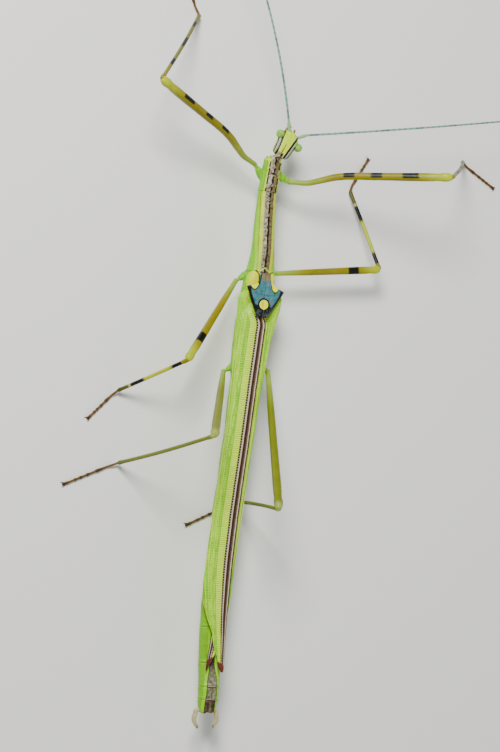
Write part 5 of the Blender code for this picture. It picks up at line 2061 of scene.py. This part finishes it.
class AddFeelers(Operator):
    """Two long feelers: a pale thick base and a whip of many short joints"""

    bl_idname = "insect.add_feelers"
    bl_label = "Feelers"

    def execute(self, context):
        chosen = settings()
        pale = plain_finish("feeler_base", chosen.colours.scape, chosen.colours.feeler, share=0.5)
        whip = feeler_finish(chosen.colours)
        sizes = chosen.sizes
        for side in SIDES:
            base = Surface()
            scape_surface(base, side, sizes.limb_sides)
            hand_over(base.finish_as(f"feeler_base_{side}", [pale]), [f"antenna_{side}_scape"])
            lash = grow(f"feeler_{side}", line_mesh("whip", [whip_line(side)]),
                        group_named("Jointed whip", whip_tree), Joints=sizes.feeler_joints, Sides=12,
                        Material=whip, **{"Base Radius": sizes.feeler_base_radius * MM,
                                          "Tip Radius": sizes.feeler_tip_radius * MM})
            hand_over(lash, [f"antenna_{side}_near", f"antenna_{side}_far"])
        return {"FINISHED"}


class AddClaws(Operator):
    """Two hooked claws on each foot"""

    bl_idname = "insect.add_claws"
    bl_label = "Claws"

    def execute(self, context):
        chosen = settings()
        surface = Surface()
        for name in LEGS:
            leg = Leg(name)
            for side in SIDES.values():
                claw(surface, leg, side, chosen.sizes.claw_length)
        finish = plain_finish("claw", chosen.colours.tarsus, chosen.colours.black, rough=0.25, coat=0.4)
        hand_over(surface.finish_as("claws", [finish]), [])
        return {"FINISHED"}


class AddGranules(Operator):
    """Fine pale granules along the edges of the middle thorax"""

    bl_idname = "insect.add_granules"
    bl_label = "Granules"

    def execute(self, context):
        chosen = settings()
        surface = Surface()
        front, back = TRUNK_FRONT - 0.6, MESOTHORAX_BACK + 1.2
        angles = range(20, 93, 12)
        for side in SIDES.values():
            rings = []
            for i in range(60):
                y = front + (back - front) * i / 59
                rings.append([over_back(y, side * angle, 0.045) for angle in angles])
            lies = [[(0, 0, 1)] * len(angles) for _ in rings]
            surface.loft(rings, lies, closed=False, capped=False)
        strip = surface.finish_as("strip", [])
        pale = plain_finish("granule", chosen.colours.wing_pale, chosen.colours.yellow, rough=0.3)
        beads = grow("granules", strip.data, group_named("Granules", granule_tree),
                     Density=chosen.sizes.granule_density / MM ** 2, Radius=chosen.sizes.granule_radius * MM,
                     Material=pale)
        bpy.data.objects.remove(strip, do_unlink=True)
        hand_over(beads, [])
        return {"FINISHED"}


# The camera looks down on the back from the animal's own left.
CAMERA_TILT = math.radians(25.3)
CAMERA_DISTANCE = 450.0
CAMERA_LENS = 151.9
SENSOR = 36.0
CAMERA_TARGET = Vector((-12.77, -16.19, 0))
CLIP_START, CLIP_END = 0.01, 10.0
FLOOR_SIZE = 900.0
# Each light's name, the direction it shines from, its distance and size in millimetres, and its watts.
LIGHTS = (
    ("key", (-0.5, 0.5, 0.9), 320, 90, 1.45),
    ("fill", (0.8, -0.2, 0.7), 320, 260, 0.22),
    ("rim", (0.1, -0.9, 0.5), 320, 200, 0.22),
)
SKY_COLOUR, SKY_STRENGTH = (0.9, 0.95, 1.0, 1.0), 0.2


def add_light(name, direction, distance, size, power):
    """A soft square light that shines on the animal's middle from a direction."""
    lamp = bpy.data.lights.new(name, "AREA")
    lamp.shape, lamp.size = "SQUARE", size * MM
    lamp.energy = power
    piece = place(bpy.data.objects.new(name, lamp))
    away = Vector(direction).normalized()
    piece.location = away * distance * MM
    piece.rotation_euler = away.to_track_quat("Z", "Y").to_euler()


class AddStage(Operator):
    """Pale floor, soft lights and the camera"""

    bl_idname = "insect.add_stage"
    bl_label = "Stage"

    def execute(self, context):
        low = CAD_BOX[0] / MM
        mesh = bpy.data.meshes.new("floor")
        work = bmesh.new()
        bmesh.ops.create_grid(work, x_segments=2, y_segments=2, size=FLOOR_SIZE * MM)
        bmesh.ops.translate(work, verts=work.verts, vec=Vector((0, 0, low.z)) * MM)
        work.to_mesh(mesh)
        work.free()
        mesh.materials.append(floor_finish(settings().colours))
        place(bpy.data.objects.new("floor", mesh))

        camera = bpy.data.cameras.new("camera")
        camera.lens, camera.sensor_width = CAMERA_LENS, SENSOR
        camera.clip_start, camera.clip_end = CLIP_START, CLIP_END
        eye = place(bpy.data.objects.new("camera", camera))
        toward = Vector((-math.sin(CAMERA_TILT), 0, math.cos(CAMERA_TILT)))
        eye.location = (CAMERA_TARGET + toward * CAMERA_DISTANCE) * MM
        eye.rotation_euler = (0, -CAMERA_TILT, 0)
        bpy.context.scene.camera = eye

        for light in LIGHTS:
            add_light(*light)
        world = bpy.data.worlds.new("studio")
        world.use_nodes = True
        sky = world.node_tree.nodes["Background"].inputs
        sky["Color"].default_value = SKY_COLOUR
        sky["Strength"].default_value = SKY_STRENGTH
        bpy.context.scene.world = world
        return {"FINISHED"}


class InsectPanel(Panel):
    """Lists the steps that dress the insect"""

    bl_idname = "VIEW3D_PT_insect"
    bl_label = "Stick Insect"
    bl_space_type = "VIEW_3D"
    bl_region_type = "UI"
    bl_category = "Insect"

    def draw(self, context):
        layout = self.layout
        for step in STEPS:
            layout.operator(step.bl_idname)
        for group in (context.scene.stick_insect.sizes, context.scene.stick_insect.colours):
            column = layout.column()
            for name in group.bl_rna.properties.keys():
                if name not in ("rna_type", "name"):
                    column.prop(group, name)


STEPS = (AddSkin, AddWings, AddCovers, AddEyes, AddMouthparts, AddFeelers, AddClaws, AddGranules, AddStage)
CLASSES = (InsectColours, InsectSizes, InsectSettings, *STEPS, InsectPanel)


def register():
    """Make the settings, the operators and the panel known to Blender."""
    for kind in CLASSES:
        bpy.utils.register_class(kind)
    bpy.types.Scene.stick_insect = PointerProperty(type=InsectSettings)


def unregister():
    """Undo register."""
    del bpy.types.Scene.stick_insect
    for kind in reversed(CLASSES):
        bpy.utils.unregister_class(kind)


def main():
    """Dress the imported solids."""
    register()
    for label, build in (("Band", band_group), ("Cuticle grain", grain_group), ("Specks", speckle_group)):
        group_named(label, build)
    for step in STEPS:
        family, action = step.bl_idname.split(".")
        getattr(getattr(bpy.ops, family), action)()


if __name__ == "__main__":
    main()
